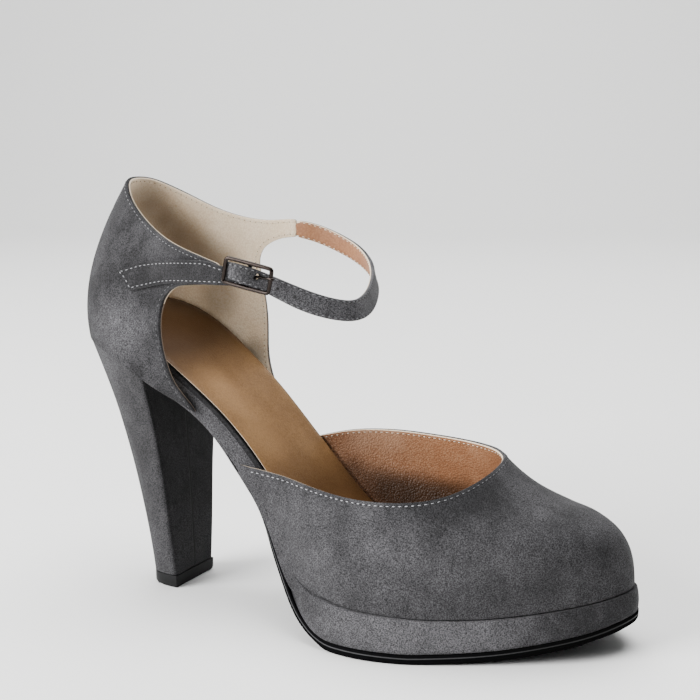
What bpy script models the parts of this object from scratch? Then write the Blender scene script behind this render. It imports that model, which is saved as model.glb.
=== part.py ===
# Right-foot mary jane pump: cut-away two-piece upper, ankle strap, platform and tapered block heel.
# Lengths are in millimetres: x from the heel breast to the toe, y to the inner side, z up.
import math

import bmesh
import bpy
import numpy as np

MM = 0.001
GAP = 0.3            # clearance between neighbouring pieces
VAMP_WALL = 1.8      # suede and lining of the vamp
QUARTER_WALL = 2.0   # suede, stiffener and lining of the counter
WELT_STEP = 1.6      # the platform stands out this far under the vamp
SOCK_THICK = 1.1
OUTSOLE_THICK = 3.6
SHANK_OUTSOLE_THICK = 1.6
STRAP_THICK = 1.7
STRIP_THICK = 1.2
TIP_HEIGHT = 5.0
ORIGIN_X = 69.4      # middle of the shoe's length, measured from the heel breast
ORIGIN_Y = 0.95

# Sole layers; each reach is the stretch of x over which a value fades
SOLE_GROWTH = (44.0, 84.0)        # the outsole thickens from waist to ball
OUTSOLE_BACK = -2.6
OUTSOLE_CHAMFER = 0.6
SHANK_INSET = 3.4                 # the outsole lies this far in under the counter
SHANK_REACH = (22.0, 38.0)
PLATFORM_BACK = 45.0
PLATFORM_ROUND = 0.3
PLATFORM_TUCK = 0.6               # the top edge is drawn in under the vamp
TUCK_REACH = (56.0, 80.0)
WELT_REACH = (42.0, 66.0)
BOARD_CLEAR = 0.6                 # board to the inside of the counter
BOARD_FOREPART = 1.9              # the board narrows inside the vamp
FOREPART_REACH = (46.0, 76.0)
HEEL_CUP = 2.4                    # the counter curves in under the heel
HEEL_CUP_REACH = (-43.0, -8.0)
SOCK_SET_IN = 0.5
SEAT_TILT = 2.0                   # the inner edge of the sock lies this much higher from heel to waist
TILT_ACROSS = (-24.0, 26.0)
TILT_RISE = (-44.0, -20.0)
TILT_FADE = (44.0, 74.0)

# Lengthwise heights: bottom of the outsole, feather edge (platform top), top of the sock
SPINE = (
    # x, bottom, feather, sock
    (-44.0, 101.6, 103.8, 114.0),
    (-30.0, 97.8, 100.0, 112.0),
    (-20.0, 94.2, 96.4, 109.4),
    (-4.0, 86.4, 88.6, 102.2),
    (11.0, 77.6, 79.8, 91.2),
    (20.0, 70.4, 72.6, 84.0),
    (28.0, 62.2, 64.6, 77.2),
    (36.0, 53.4, 55.8, 69.2),
    (46.0, 41.8, 45.2, 58.4),
    (54.0, 30.8, 38.2, 49.6),
    (60.0, 21.8, 33.0, 43.2),
    (67.0, 11.8, 27.4, 36.2),
    (75.0, 4.2, 23.2, 29.6),
    (84.0, 0.0, 20.6, 25.0),
    (92.0, 0.0, 18.8, 22.6),
    (104.0, 0.0, 16.8, 20.4),
    (112.0, 0.0, 16.0, 19.6),
    (119.0, 0.6, 15.6, 19.2),
    (131.0, 1.8, 15.7, 19.3),
    (145.0, 3.7, 16.8, 20.4),
    (159.0, 6.2, 18.8, 22.4),
    (172.0, 9.2, 21.2, 24.8),
    (184.0, 12.4, 23.8, 27.4),
)

# Plan outline of the outsole and of the upper's lower edge, from the back of the heel round the outside
OUTLINE = (
    # x, y
    (-42.5, 0.0), (-39.6, -13.0), (-33.0, -21.2), (-22.0, -26.4), (-8.0, -28.0), (6.0, -27.0),
    (16.0, -25.7), (28.0, -24.0), (41.0, -23.2), (49.0, -24.2), (58.0, -28.4), (67.0, -33.7),
    (75.0, -37.6), (84.0, -40.6), (93.0, -41.7), (104.0, -40.6), (118.0, -35.8), (131.0, -29.3),
    (145.0, -21.8), (158.0, -13.8), (169.4, -5.2), (177.0, 4.2), (180.0, 13.0), (178.4, 19.8),
    (172.4, 26.6), (162.4, 33.0), (150.0, 38.2), (134.0, 42.0), (118.0, 43.6), (104.0, 42.2),
    (90.0, 38.4), (75.0, 33.6), (62.0, 29.8), (49.0, 27.4), (38.0, 27.0), (25.0, 27.4),
    (10.0, 28.2), (-8.0, 28.0), (-22.0, 26.4), (-33.0, 21.2), (-39.6, 13.0),
)
TOE_ROW = 22         # row of the toe tip in the outline

DIP_AT = 0.8         # the vamp dips most at this share of its height

# Vamp sections, outside back end round the toe to the inside back end
VAMP = (
    # side, feather x, top x, top y, top z, out at foot, lift at foot, out at top, drop at top, dip
    ("lat", 39.0, 39.4, -23.4, 58.6, 0.0, 0.33, 0.2, 0.33, 0.0),
    ("lat", 44.0, 44.4, -23.4, 57.4, 0.2, 0.33, 0.3, 0.33, 0.0),
    ("lat", 50.0, 50.0, -23.4, 56.8, 0.6, 0.33, 0.6, 0.33, 0.0),
    ("lat", 58.0, 57.5, -24.2, 56.2, 1.0, 0.36, 1.4, 0.34, 0.0),
    ("lat", 70.0, 67.0, -26.0, 55.0, 1.2, 0.38, 3.0, 0.36, 0.0),
    ("lat", 84.0, 78.0, -28.0, 54.0, 1.2, 0.40, 4.6, 0.38, 0.0),
    ("lat", 98.0, 89.0, -29.4, 53.6, 1.2, 0.42, 6.0, 0.38, 0.0),
    ("lat", 113.0, 100.0, -29.8, 54.1, 1.2, 0.44, 8.0, 0.38, 0.0),
    ("lat", 128.0, 110.0, -28.5, 55.2, 1.2, 0.47, 11.0, 0.38, 0.0),
    ("lat", 143.0, 119.0, -25.2, 57.0, 1.2, 0.50, 15.5, 0.38, 0.6),
    ("lat", 158.0, 126.0, -19.0, 59.7, 1.0, 0.53, 22.0, 0.37, 2.2),
    ("lat", 168.0, 129.6, -10.6, 62.0, 0.8, 0.56, 28.0, 0.36, 3.4),
    ("lat", 174.6, 131.0, -2.4, 63.6, 0.6, 0.58, 32.0, 0.35, 4.0),
    ("toe", 180.0, 130.8, 6.0, 64.7, 0.6, 0.62, 34.0, 0.33, 4.3),
    ("med", 174.8, 129.0, 13.0, 65.0, 0.6, 0.58, 28.0, 0.36, 4.6),
    ("med", 167.4, 124.0, 20.6, 65.0, 0.8, 0.56, 20.0, 0.38, 5.0),
    ("med", 157.0, 116.0, 27.0, 64.6, 1.0, 0.53, 13.0, 0.40, 4.4),
    ("med", 143.6, 105.0, 31.4, 64.4, 1.2, 0.50, 9.5, 0.40, 3.0),
    ("med", 128.0, 92.0, 34.0, 64.2, 1.2, 0.46, 7.4, 0.39, 1.6),
    ("med", 110.0, 79.0, 34.6, 64.2, 1.2, 0.43, 6.0, 0.38, 0.7),
    ("med", 92.0, 67.0, 33.2, 63.8, 1.2, 0.40, 4.0, 0.37, 0.0),
    ("med", 76.0, 57.0, 30.6, 62.8, 1.0, 0.37, 2.4, 0.35, 0.0),
    ("med", 60.0, 49.0, 28.2, 61.0, 0.6, 0.34, 1.0, 0.34, 0.0),
    ("med", 48.0, 43.5, 27.4, 59.4, 0.2, 0.33, 0.3, 0.33, 0.0),
    ("med", 40.0, 39.6, 27.0, 57.8, 0.0, 0.33, 0.2, 0.33, 0.0),
)

BACK_ROW = 10        # row of the back seam in the counter's table

# Counter sections, outside strap root round the back to the inside strap root
QUARTER = (
    # seat x, seat y, collar x, collar y, collar z, out at seat, out at collar
    (62.0, -25.6, 62.0, -33.4, 130.6, 0.0, 0.0),
    (50.0, -23.6, 50.0, -33.6, 132.2, 0.0, 0.0),
    (38.0, -23.4, 38.0, -33.0, 134.0, 0.0, 0.0),
    (28.0, -24.0, 28.0, -31.8, 136.6, 0.0, 0.0),
    (20.0, -25.0, 20.0, -29.8, 138.5, 0.3, 0.5),
    (8.0, -26.8, 8.0, -24.8, 141.6, 0.8, 2.2),
    (-4.0, -27.4, -4.4, -19.2, 147.0, 1.4, 4.2),
    (-15.0, -26.6, -13.4, -15.2, 153.4, 2.2, 6.2),
    (-26.0, -23.2, -18.4, -11.4, 158.4, 3.2, 9.0),
    (-33.8, -16.0, -21.6, -6.4, 161.4, 4.4, 11.6),
    (-37.6, 0.0, -23.0, 0.0, 162.2, 5.0, 12.6),
    (-33.8, 16.0, -21.2, 6.6, 161.6, 4.4, 11.6),
    (-26.0, 23.2, -16.4, 11.8, 158.8, 3.2, 9.0),
    (-15.0, 26.6, -9.4, 16.6, 154.8, 2.2, 6.0),
    (-4.0, 27.4, -1.4, 21.0, 150.4, 1.4, 4.2),
    (8.0, 28.0, 8.2, 26.4, 146.8, 0.8, 2.2),
    (19.0, 27.6, 18.6, 32.2, 145.3, 0.3, 0.5),
    (28.0, 27.4, 27.8, 36.4, 145.7, 0.0, 0.0),
    (38.0, 27.0, 38.0, 40.4, 142.4, 0.0, 0.0),
    (50.0, 27.4, 50.0, 40.6, 138.4, 0.0, 0.0),
)
OUTSIDE_FRONT = (
    # x, z up the cut front edge on the buckle side
    (15.2, 76.4), (13.2, 83.0), (10.6, 89.6), (8.0, 97.0), (6.3, 105.0), (6.2, 112.0),
    (8.0, 118.4), (12.0, 123.0), (17.0, 125.0),
)
OUTSIDE_TAB = ((17.0, 125.0), (24.0, 125.9), (31.0, 126.6), (37.0, 126.9))
INSIDE_FRONT = (
    # x, z up the cut front edge on the inner side
    (24.4, 68.6), (21.2, 79.0), (18.8, 90.0), (18.2, 104.0), (16.2, 117.0), (14.2, 127.0),
    (14.2, 131.4), (16.4, 135.2), (21.6, 137.7),
)
INSIDE_TAB = ((21.6, 137.7), (25.0, 138.4), (28.2, 138.6))

HEEL = (
    # level 0 at the tip to 1 at the seat, back x, breast x, half width
    (0.00, -15.8, -0.2, 12.0),
    (0.18, -16.6, -0.8, 14.0),
    (0.45, -21.2, -1.8, 17.6),
    (0.70, -28.0, -2.9, 21.2),
    (0.88, -34.2, -3.6, 23.8),
    (1.00, -37.4, -4.0, 25.4),
)
HEEL_BACK_ROUND = 0.8             # powers of the D-shaped section
HEEL_SIDE_ROUND = 0.72
TIP_CHAMFER = 0.5

# Buckle strap strip sewn on the counter, slanted rear end to the buckle bar
STRIP = (
    # lower edge x, z, upper edge x, z
    (-7.7, 120.7, -14.6, 127.7), (-5.2, 121.3, -11.6, 128.7), (-1.6, 122.2, -6.4, 130.4),
    (5.0, 123.9, 2.4, 132.4), (13.0, 125.5, 12.4, 133.9), (22.0, 126.5, 22.0, 134.9),
    (31.0, 127.0, 31.0, 135.3), (41.0, 127.3, 41.0, 134.8), (53.6, 127.6, 53.6, 134.2),
)

# Ankle strap centre line, inner seam round the front to the tip under the buckle
STRAP = (
    # x, y, z, lean of the upper edge towards the foot in degrees, width
    (29.1, 36.65, 142.1, 6.0, 7.1),
    (36.0, 39.8, 140.1, 5.0, 7.2),
    (44.0, 40.8, 137.2, 6.0, 7.3),
    (54.0, 38.6, 133.4, 8.0, 7.4),
    (64.4, 30.6, 129.2, 12.0, 7.5),
    (73.2, 17.4, 125.2, 15.0, 7.5),
    (79.6, 2.6, 121.8, 16.0, 7.5),
    (82.8, -10.0, 119.4, 16.0, 7.5),
    (82.4, -19.4, 118.8, 14.0, 7.5),
    (77.0, -27.0, 120.4, 10.0, 7.5),
    (69.0, -32.0, 123.6, 5.0, 7.4),
    (61.0, -36.0, 127.7, 1.0, 6.6),
    (57.2, -37.6, 129.5, 0.5, 6.4),
    (52.2, -39.8, 131.5, 0.0, 6.4),
    (42.4, -38.35, 133.2, 0.0, 5.6),
)
STRAP_RING = (
    # across the width, through the thickness: the strap's section with softened edges
    (-0.5, -0.7), (-0.5, 0.7), (-0.46, 1.0), (0.46, 1.0),
    (0.5, 0.7), (0.5, -0.7), (0.46, -1.0), (-0.46, -1.0),
)

BUCKLE_MIDDLE = (52.2, -39.85, 131.6)
BUCKLE_AHEAD = (9.0, 0.5, -1.7)   # from the centre bar to the right bar
BUCKLE_HALF = 4.4                 # centre to rail
BUCKLE_CORNER = 1.1
FRAME_RADIUS = 0.6
BAR_RADIUS = 0.54
BAR_SET_IN = 1.85                 # the centre bar lies this much nearer the foot than the rails
PRONG_RADIUS = 0.55
PRONG_ROOT_CLEAR = 0.6            # prong to the centre bar
PRONG_BEND = 0.55                 # share of the prong's run that lies straight in the hole
PRONG_RISE = 1.2                  # the prong crosses the right bar above its middle
PRONG_PAST = 2.1                  # the prong's tip stands past the right bar
HOLE_CLEAR = 0.6
HOLE_RUN = (-0.12, 0.66)          # the hole's ends as shares of the prong's run
SUEDE = (0.085, 0.082, 0.088)
RUBBER = (0.012, 0.012, 0.013)
SOCK_LEATHER = (0.42, 0.28, 0.17)
GUNMETAL = (0.16, 0.13, 0.115)

for leftover in list(bpy.data.objects):
    bpy.data.objects.remove(leftover)
PARTS = bpy.data.collections.new("mary_jane_pump")
CUTTERS = bpy.data.collections.new("cutters")
bpy.context.scene.collection.children.link(PARTS)
bpy.context.scene.collection.children.link(CUTTERS)


def spline(knots, values, at):
    """Natural cubic spline through the rows of a table."""
    knots = np.asarray(knots, float)
    values = np.asarray(values, float)
    n = len(knots)
    step = np.diff(knots)
    rhs = np.zeros(values.shape)
    mat = np.eye(n)
    slope = np.diff(values, axis=0) / step.reshape((-1,) + (1,) * (values.ndim - 1))
    for i in range(1, n - 1):
        mat[i, i - 1] = step[i - 1]
        mat[i, i] = 2.0 * (step[i - 1] + step[i])
        mat[i, i + 1] = step[i]
        rhs[i] = 6.0 * (slope[i] - slope[i - 1])
    bend = np.linalg.solve(mat, rhs)
    at = np.asarray(at, float)
    k = np.clip(np.searchsorted(knots, at) - 1, 0, n - 2)
    shape = at.shape + (1,) * (values.ndim - 1)
    h = step[k].reshape(shape)
    a = (knots[k + 1] - at).reshape(shape) / h
    b = (at - knots[k]).reshape(shape) / h
    curve = a * values[k] + b * values[k + 1]
    return curve + ((a ** 3 - a) * bend[k] + (b ** 3 - b) * bend[k + 1]) * h * h / 6.0


def steady(knots, values, at):
    """Cubic through the rows of a table that never swings past a row."""
    knots = np.asarray(knots, float)
    values = np.asarray(values, float)
    step = np.diff(knots)
    slope = np.diff(values) / step
    tangent = np.zeros(len(knots))
    tangent[0] = slope[0]
    tangent[-1] = slope[-1]
    for i in range(1, len(knots) - 1):
        if slope[i - 1] * slope[i] > 0.0:
            w1 = 2.0 * step[i] + step[i - 1]
            w2 = step[i] + 2.0 * step[i - 1]
            tangent[i] = (w1 + w2) / (w1 / slope[i - 1] + w2 / slope[i])
    at = np.clip(np.asarray(at, float), knots[0], knots[-1])
    k = np.clip(np.searchsorted(knots, at) - 1, 0, len(knots) - 2)
    h = step[k]
    s = (at - knots[k]) / h
    value = values[k] * (1 + 2 * s) * (1 - s) ** 2 + values[k + 1] * s * s * (3 - 2 * s)
    return value + h * (tangent[k] * s * (1 - s) ** 2 - tangent[k + 1] * s * s * (1 - s))


SPINE_X = [row[0] for row in SPINE]


def bottom_z(x):
    return steady(SPINE_X, [row[1] for row in SPINE], x)


def feather_z(x):
    return steady(SPINE_X, [row[2] for row in SPINE], x)


def sock_z(x):
    return steady(SPINE_X, [row[3] for row in SPINE], x)


def ramp(x, reach):
    """0 before the reach, 1 after it, eased between."""
    start, end = reach
    s = np.clip((np.asarray(x, float) - start) / (end - start), 0.0, 1.0)
    return s * s * (3.0 - 2.0 * s)


def tilt(x, y):
    """Extra height of the sock towards the inner side, fading out at the back and at the ball."""
    low, high = TILT_ACROSS
    share = np.clip((np.asarray(y, float) - low) / (high - low), 0.0, 1.0)
    return SEAT_TILT * share * ramp(x, TILT_RISE) * (1.0 - ramp(x, TILT_FADE))


def sole_depth(x):
    return SHANK_OUTSOLE_THICK + (OUTSOLE_THICK - SHANK_OUTSOLE_THICK) * ramp(x, SOLE_GROWTH)


def shank_inset(x):
    return SHANK_INSET * (1.0 - ramp(x, SHANK_REACH))


def heel_cup(x):
    return HEEL_CUP * (1.0 - ramp(x, HEEL_CUP_REACH))


def board_inset(x):
    return BOARD_CLEAR + QUARTER_WALL + BOARD_FOREPART * ramp(x, FOREPART_REACH) + heel_cup(x)


def plan_outline():
    """Dense outline with outward normals, split into outer and inner halves from heel to toe."""
    pts = np.array(OUTLINE)
    ring = np.vstack([pts[-3:], pts, pts[:3]])
    along = np.r_[0.0, np.cumsum(np.linalg.norm(np.diff(ring, axis=0), axis=1))]
    start, toe, end = along[3], along[3 + TOE_ROW], along[3 + len(pts)]
    halves = {}
    for side, first, last in (("lat", start, toe), ("med", end, toe)):
        at = np.linspace(first, last, 600)
        p = spline(along, ring, at)
        d = spline(along, ring, at + 0.01) - spline(along, ring, at - 0.01)
        d /= np.linalg.norm(d, axis=1)[:, None]
        halves[side] = (p, np.c_[d[:, 1], -d[:, 0]])
    halves["toe"] = halves["lat"]
    return halves


HALVES = plan_outline()


def half_outline(side, inset, from_x, count):
    """Outline of one side moved in by inset(x), from from_x to the toe tip, evenly spaced."""
    p, n = HALVES[side]
    q = p - n * np.reshape(inset(p[:, 0]), (-1, 1))
    if from_x is not None:
        first = int(np.argmax(q[:, 0] > from_x))
        t = (from_x - q[first - 1, 0]) / (q[first, 0] - q[first - 1, 0])
        q = np.vstack([q[first - 1] + t * (q[first] - q[first - 1]), q[first:]])
    along = np.r_[0.0, np.cumsum(np.linalg.norm(np.diff(q, axis=0), axis=1))]
    at = np.linspace(0.0, along[-1], count + 1)
    return np.c_[np.interp(at, along, q[:, 0]), np.interp(at, along, q[:, 1])]


def outline_point(side, x, inset):
    """Point of the outline at x on one side, moved in by inset."""
    p, n = HALVES[side]
    if side == "toe":
        return p[-1] - n[-1] * inset
    q = (p - n * inset)[len(p) // 10:]
    return np.array([x, np.interp(x, q[:, 0], q[:, 1])])


def place(p):
    """Point in millimetres from the heel breast, as metres from the shoe's own middle."""
    return ((p[0] - ORIGIN_X) * MM, (p[1] - ORIGIN_Y) * MM, p[2] * MM)


class Sheet:
    """Welds points given in millimetres into one mesh."""

    def __init__(self):
        self.index = {}
        self.verts = []
        self.faces = []

    def vert(self, p):
        key = tuple(round(float(c), 4) for c in p)
        if key not in self.index:
            self.index[key] = len(self.verts)
            self.verts.append(place(key))
        return self.index[key]

    def face(self, *pts):
        ids = []
        for p in pts:
            i = self.vert(p)
            if i not in ids:
                ids.append(i)
        if len(ids) > 2:
            self.faces.append(ids)

    def grid(self, rows):
        for a, b in zip(rows[:-1], rows[1:]):
            for k in range(len(a) - 1):
                self.face(a[k], a[k + 1], b[k + 1], b[k])


def make_object(name, sheet, material):
    mesh = bpy.data.meshes.new(name)
    mesh.from_pydata(sheet.verts, [], sheet.faces)
    mesh.materials.append(material)
    work = bmesh.new()
    work.from_mesh(mesh)
    bmesh.ops.recalc_face_normals(work, faces=work.faces)
    work.to_mesh(mesh)
    work.free()
    obj = bpy.data.objects.new(name, mesh)
    PARTS.objects.link(obj)
    return obj


def rung_solid(name, rows, material, cells=4):
    """Closed solid from rows of outer and inner half outlines, bottom row first, each joined by rungs."""
    sheet = Sheet()
    for (lat_a, med_a), (lat_b, med_b) in zip(rows[:-1], rows[1:]):
        sheet.grid([lat_a, lat_b])
        sheet.grid([med_b, med_a])
        ends_a = [lat_a[0] + (med_a[0] - lat_a[0]) * c / cells for c in range(cells + 1)]
        ends_b = [lat_b[0] + (med_b[0] - lat_b[0]) * c / cells for c in range(cells + 1)]
        sheet.grid([ends_b, ends_a])
    for lat, med in (rows[0], rows[-1]):
        sheet.grid([lat + (med - lat) * (c / cells) for c in range(cells + 1)])
    return make_object(name, sheet, material)


def slab(name, material, count, from_x, levels, cells=4):
    """Layer of the sole: each level gives an inset(x), a height z(x) and its share of the seat's tilt."""
    rows = []
    for inset, height, tilted in levels:
        pair = []
        for side in ("lat", "med"):
            p = half_outline(side, inset, from_x, count)
            pair.append(np.c_[p, height(p[:, 0]) + tilted * tilt(p[:, 0], p[:, 1])])
        tip = 0.5 * (pair[0][-1] + pair[1][-1])
        pair[0][-1] = tip
        pair[1][-1] = tip
        if from_x is None:
            back = 0.5 * (pair[0][0] + pair[1][0])
            pair[0][0] = back
            pair[1][0] = back
        rows.append(pair)
    return rung_solid(name, rows, material, cells)


def wall_object(name, grid, keep, thick, material, outward=False):
    """Sheet of sections given a real wall by Solidify."""
    sheet = Sheet()
    rows, cols = grid.shape[:2]
    for j in range(rows - 1):
        for i in range(cols - 1):
            if keep[j, i] and keep[j, i + 1] and keep[j + 1, i] and keep[j + 1, i + 1]:
                sheet.face(grid[j, i], grid[j, i + 1], grid[j + 1, i + 1], grid[j + 1, i])
    mesh = bpy.data.meshes.new(name)
    mesh.from_pydata(sheet.verts, [], sheet.faces)
    mesh.materials.append(material)
    obj = bpy.data.objects.new(name, mesh)
    PARTS.objects.link(obj)
    solid = obj.modifiers.new("wall", "SOLIDIFY")
    solid.thickness = thick * MM
    solid.offset = 1.0 if outward else -1.0
    solid.use_even_offset = True
    solid.use_quality_normals = True
    return obj


def bow(foot, top, out_foot, lift, out_top, drop, dip, outward, v):
    """Section curve of the vamp from its lower edge to its topline, dipping before the throat."""
    rise = top[2] - foot[2]
    up = np.array([0.0, 0.0, 1.0])
    p1 = foot + outward * out_foot + up * rise * lift
    p2 = top + outward * out_top - up * rise * drop
    v = np.reshape(v, (-1, 1))
    curve = foot * (1 - v) ** 3 + 3 * p1 * v * (1 - v) ** 2 + 3 * p2 * v * v * (1 - v) + top * v ** 3
    deepest = DIP_AT ** 4 * (1 - DIP_AT)
    return curve - up * dip * v ** 4 * (1 - v) / deepest


def vamp_surface(u, v):
    """Outside of the vamp: u runs outside back end to inside back end, v lower edge to topline."""
    foot = []
    for side, fx in [(row[0], row[1]) for row in VAMP]:
        inset = WELT_STEP * float(ramp(fx, WELT_REACH))
        p = outline_point(side, fx, inset)
        foot.append((p[0], p[1], float(feather_z(p[0])) + GAP))
    foot = np.array(foot)
    top = np.array([row[2:5] for row in VAMP])
    form = np.array([row[5:10] for row in VAMP])
    knots = np.arange(len(VAMP), dtype=float)
    at = np.asarray(u) * (len(VAMP) - 1)
    foot_at = spline(knots, foot, at)
    foot_at[:, 2] = feather_z(foot_at[:, 0]) + GAP
    top_at = spline(knots, top, at)
    form_at = spline(knots, form, at)
    ahead = spline(knots, foot, at + 0.02) - spline(knots, foot, at - 0.02)
    side_out = np.c_[ahead[:, 1], -ahead[:, 0], np.zeros(len(at))]
    side_out /= np.linalg.norm(side_out, axis=1)[:, None]
    cols = []
    for k in range(len(at)):
        cols.append(bow(foot_at[k], top_at[k], *form_at[k], side_out[k], v))
    return np.array(cols).transpose(1, 0, 2)


def quarter_point(t, v):
    """Lining side of the counter: t in rows of its table, v seat to collar; height is even in v."""
    t = np.atleast_1d(np.asarray(t, float))
    v = np.reshape(np.asarray(v, float), (-1, 1))
    table = np.array(QUARTER)
    knots = np.arange(len(table), dtype=float)
    row = spline(knots, table, t)
    ahead = spline(knots, table, t + 0.02) - spline(knots, table, t - 0.02)
    foot = np.c_[row[:, 0:2], feather_z(row[:, 0]) + GAP]
    top = row[:, 2:5]
    out = np.c_[-ahead[:, 1], ahead[:, 0], np.zeros(len(t))]
    out_top = np.c_[-ahead[:, 3], ahead[:, 2], np.zeros(len(t))]
    out /= np.linalg.norm(out, axis=1)[:, None]
    out_top /= np.linalg.norm(out_top, axis=1)[:, None]
    rise = np.zeros((len(t), 3))
    rise[:, 2] = (top[:, 2] - foot[:, 2]) / 3.0
    p1 = foot + out * row[:, 5:6] + rise
    p2 = top + out_top * row[:, 6:7] - rise
    return foot * (1 - v) ** 3 + 3 * p1 * v * (1 - v) ** 2 + 3 * p2 * v * v * (1 - v) + top * v ** 3


def quarter_normal(t, v):
    d = 0.01
    dt = quarter_point(np.asarray(t) + d, v) - quarter_point(np.asarray(t) - d, v)
    dv = quarter_point(t, np.asarray(v) + d) - quarter_point(t, np.asarray(v) - d)
    n = np.cross(dv, dt)
    return n / np.linalg.norm(n, axis=1)[:, None]


def quarter_place(x, z, inner):
    """Row position and height fraction of a side-view point on one side of the counter."""
    first, last = (BACK_ROW + 0.5, len(QUARTER) - 1.0) if inner else (0.0, BACK_ROW - 0.5)
    t = np.linspace(first, last, 300)
    v = 0.5
    here = t[0]
    for _ in range(12):
        xs = quarter_point(t, np.full(len(t), v))[:, 0]
        order = np.argsort(xs)
        here = float(np.interp(x, xs[order], t[order]))
        low = quarter_point(here, 0.0)[0, 2]
        high = quarter_point(here, 1.0)[0, 2]
        v = float(np.clip((z - low) / (high - low), 0.0, 1.0))
    return here, v


def make_quarter(material, columns=38, low_rows=13, top_rows=3, tab_cols=4):
    """Counter between its cut front edges, with a short tab at the root of each strap."""
    def edge(table, inner, count):
        pts = np.array(table)
        along = np.r_[0.0, np.cumsum(np.linalg.norm(np.diff(pts, axis=0), axis=1))]
        at = spline(along, pts, np.linspace(0.0, along[-1], count + 1))
        return np.array([quarter_place(x, z, inner) for x, z in at])

    out_edge = edge(OUTSIDE_FRONT, False, low_rows)
    in_edge = edge(INSIDE_FRONT, True, low_rows)
    out_edge[0, 1] = 0.0
    in_edge[0, 1] = 0.0
    out_tab = edge(OUTSIDE_TAB, False, tab_cols)[::-1]
    in_tab = edge(INSIDE_TAB, True, tab_cols)
    rows = low_rows + top_rows + 1
    cols = columns + 1 + 2 * tab_cols
    grid = np.zeros((rows, cols, 3))
    keep = np.zeros((rows, cols), bool)
    share = np.linspace(0.0, 1.0, columns + 1)
    for j in range(rows):
        if j <= low_rows:
            (t0, v0), (t1, v1) = out_edge[j], in_edge[j]
        else:
            f = (j - low_rows) / top_rows
            t0, v0 = out_edge[-1, 0], out_edge[-1, 1] * (1 - f) + f
            t1, v1 = in_edge[-1, 0], in_edge[-1, 1] * (1 - f) + f
        body = slice(tab_cols, tab_cols + columns + 1)
        grid[j, body] = quarter_point(t0 + (t1 - t0) * share, v0 + (v1 - v0) * share)
        keep[j, body] = True
        if j >= low_rows:
            f = (j - low_rows) / top_rows
            for k in range(tab_cols):
                t, v = out_tab[k]
                grid[j, k] = quarter_point(t, v + (1 - v) * f)[0]
                t, v = in_tab[k + 1]
                grid[j, tab_cols + columns + 1 + k] = quarter_point(t, v + (1 - v) * f)[0]
            keep[j, :] = True
    return wall_object("quarter", grid[:, ::-1], keep[:, ::-1], QUARTER_WALL, material, True)


def make_strip(material, columns=26, bands=3):
    """Buckle strap lying on the outside of the counter."""
    table = np.array(STRIP)
    knots = 0.5 * (table[:, 0] + table[:, 2])
    rows = spline(knots, table, np.linspace(knots[0], knots[-1], columns + 1))
    grid = np.zeros((bands + 1, columns + 1, 3))
    for k in range(columns + 1):
        for j in range(bands + 1):
            x, z = rows[k, :2] + (rows[k, 2:] - rows[k, :2]) * j / bands
            t, v = quarter_place(x, z, False)
            grid[j, k] = quarter_point(t, v)[0] + quarter_normal(t, v)[0] * (QUARTER_WALL + GAP)
    return wall_object("buckle_strap", grid, np.ones(grid.shape[:2], bool), STRIP_THICK, material, True)


def strap_frame(count):
    """Centre points, tangents, width directions and widths along the ankle strap."""
    table = np.array(STRAP)
    along = np.r_[0.0, np.cumsum(np.linalg.norm(np.diff(table[:, :3], axis=0), axis=1))]
    at = np.linspace(0.0, along[-1], count + 1)
    row = spline(along, table, at)
    ahead = spline(along, table[:, :3], at + 0.05) - spline(along, table[:, :3], at - 0.05)
    ahead /= np.linalg.norm(ahead, axis=1)[:, None]
    outward = np.c_[-ahead[:, 1], ahead[:, 0], np.zeros(count + 1)]
    outward /= np.linalg.norm(outward, axis=1)[:, None]
    up = np.cross(outward, ahead)
    up *= np.sign(up[:, 2:3])
    lean = np.radians(row[:, 3:4])
    wide = up * np.cos(lean) - outward * np.sin(lean)
    thick = np.cross(wide, ahead)
    thick *= np.sign(np.sum(thick * outward, axis=1))[:, None]
    return row[:, :3], wide, thick, row[:, 4:5]


def make_strap(material, count=56):
    centre, wide, thick, width = strap_frame(count)
    half = 0.5 * STRAP_THICK
    ring = []
    for across, through in STRAP_RING + STRAP_RING[:1]:
        ring.append(centre + wide * width * across + thick * half * through)
    sheet = Sheet()
    sheet.grid(ring)
    for end in (0, -1):
        sheet.face(*[r[end] for r in ring[:-1]])
    return make_object("ankle_strap", sheet, material)


def make_heel(material, tip_material, count=14, levels=9):
    """Tapered block with a D-shaped section, and the tip under it."""
    def half_section(side, back, breast, half):
        theta = np.linspace(math.pi / 2, 0.0, count + 1)
        x = breast - (breast - back) * np.abs(np.cos(theta)) ** HEEL_BACK_ROUND
        y = half * np.abs(np.sin(theta)) ** HEEL_SIDE_ROUND
        y[-1] = 0.0
        return x, (y if side == "med" else -y)

    table = np.array(HEEL)
    rows = []
    for level in np.linspace(0.0, 1.0, levels):
        back, breast, half = (float(steady(table[:, 0], table[:, k], level)) for k in (1, 2, 3))
        pair = []
        for side in ("lat", "med"):
            x, y = half_section(side, back, breast, half)
            top = feather_z(x) - GAP
            pair.append(np.c_[x, y, TIP_HEIGHT + GAP + level * (top - TIP_HEIGHT - GAP)])
        rows.append(pair)
    rung_solid("heel", rows, material)
    back, breast, half = HEEL[0][1:]
    rows = []
    for grow, z in ((-TIP_CHAMFER, 0.0), (0.0, TIP_CHAMFER), (0.0, TIP_HEIGHT)):
        pair = []
        for side in ("lat", "med"):
            x, y = half_section(side, back - grow, breast + grow, half + grow)
            pair.append(np.c_[x, y, np.full(len(x), z)])
        rows.append(pair)
    rung_solid("heel_tip", rows, tip_material)


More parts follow.
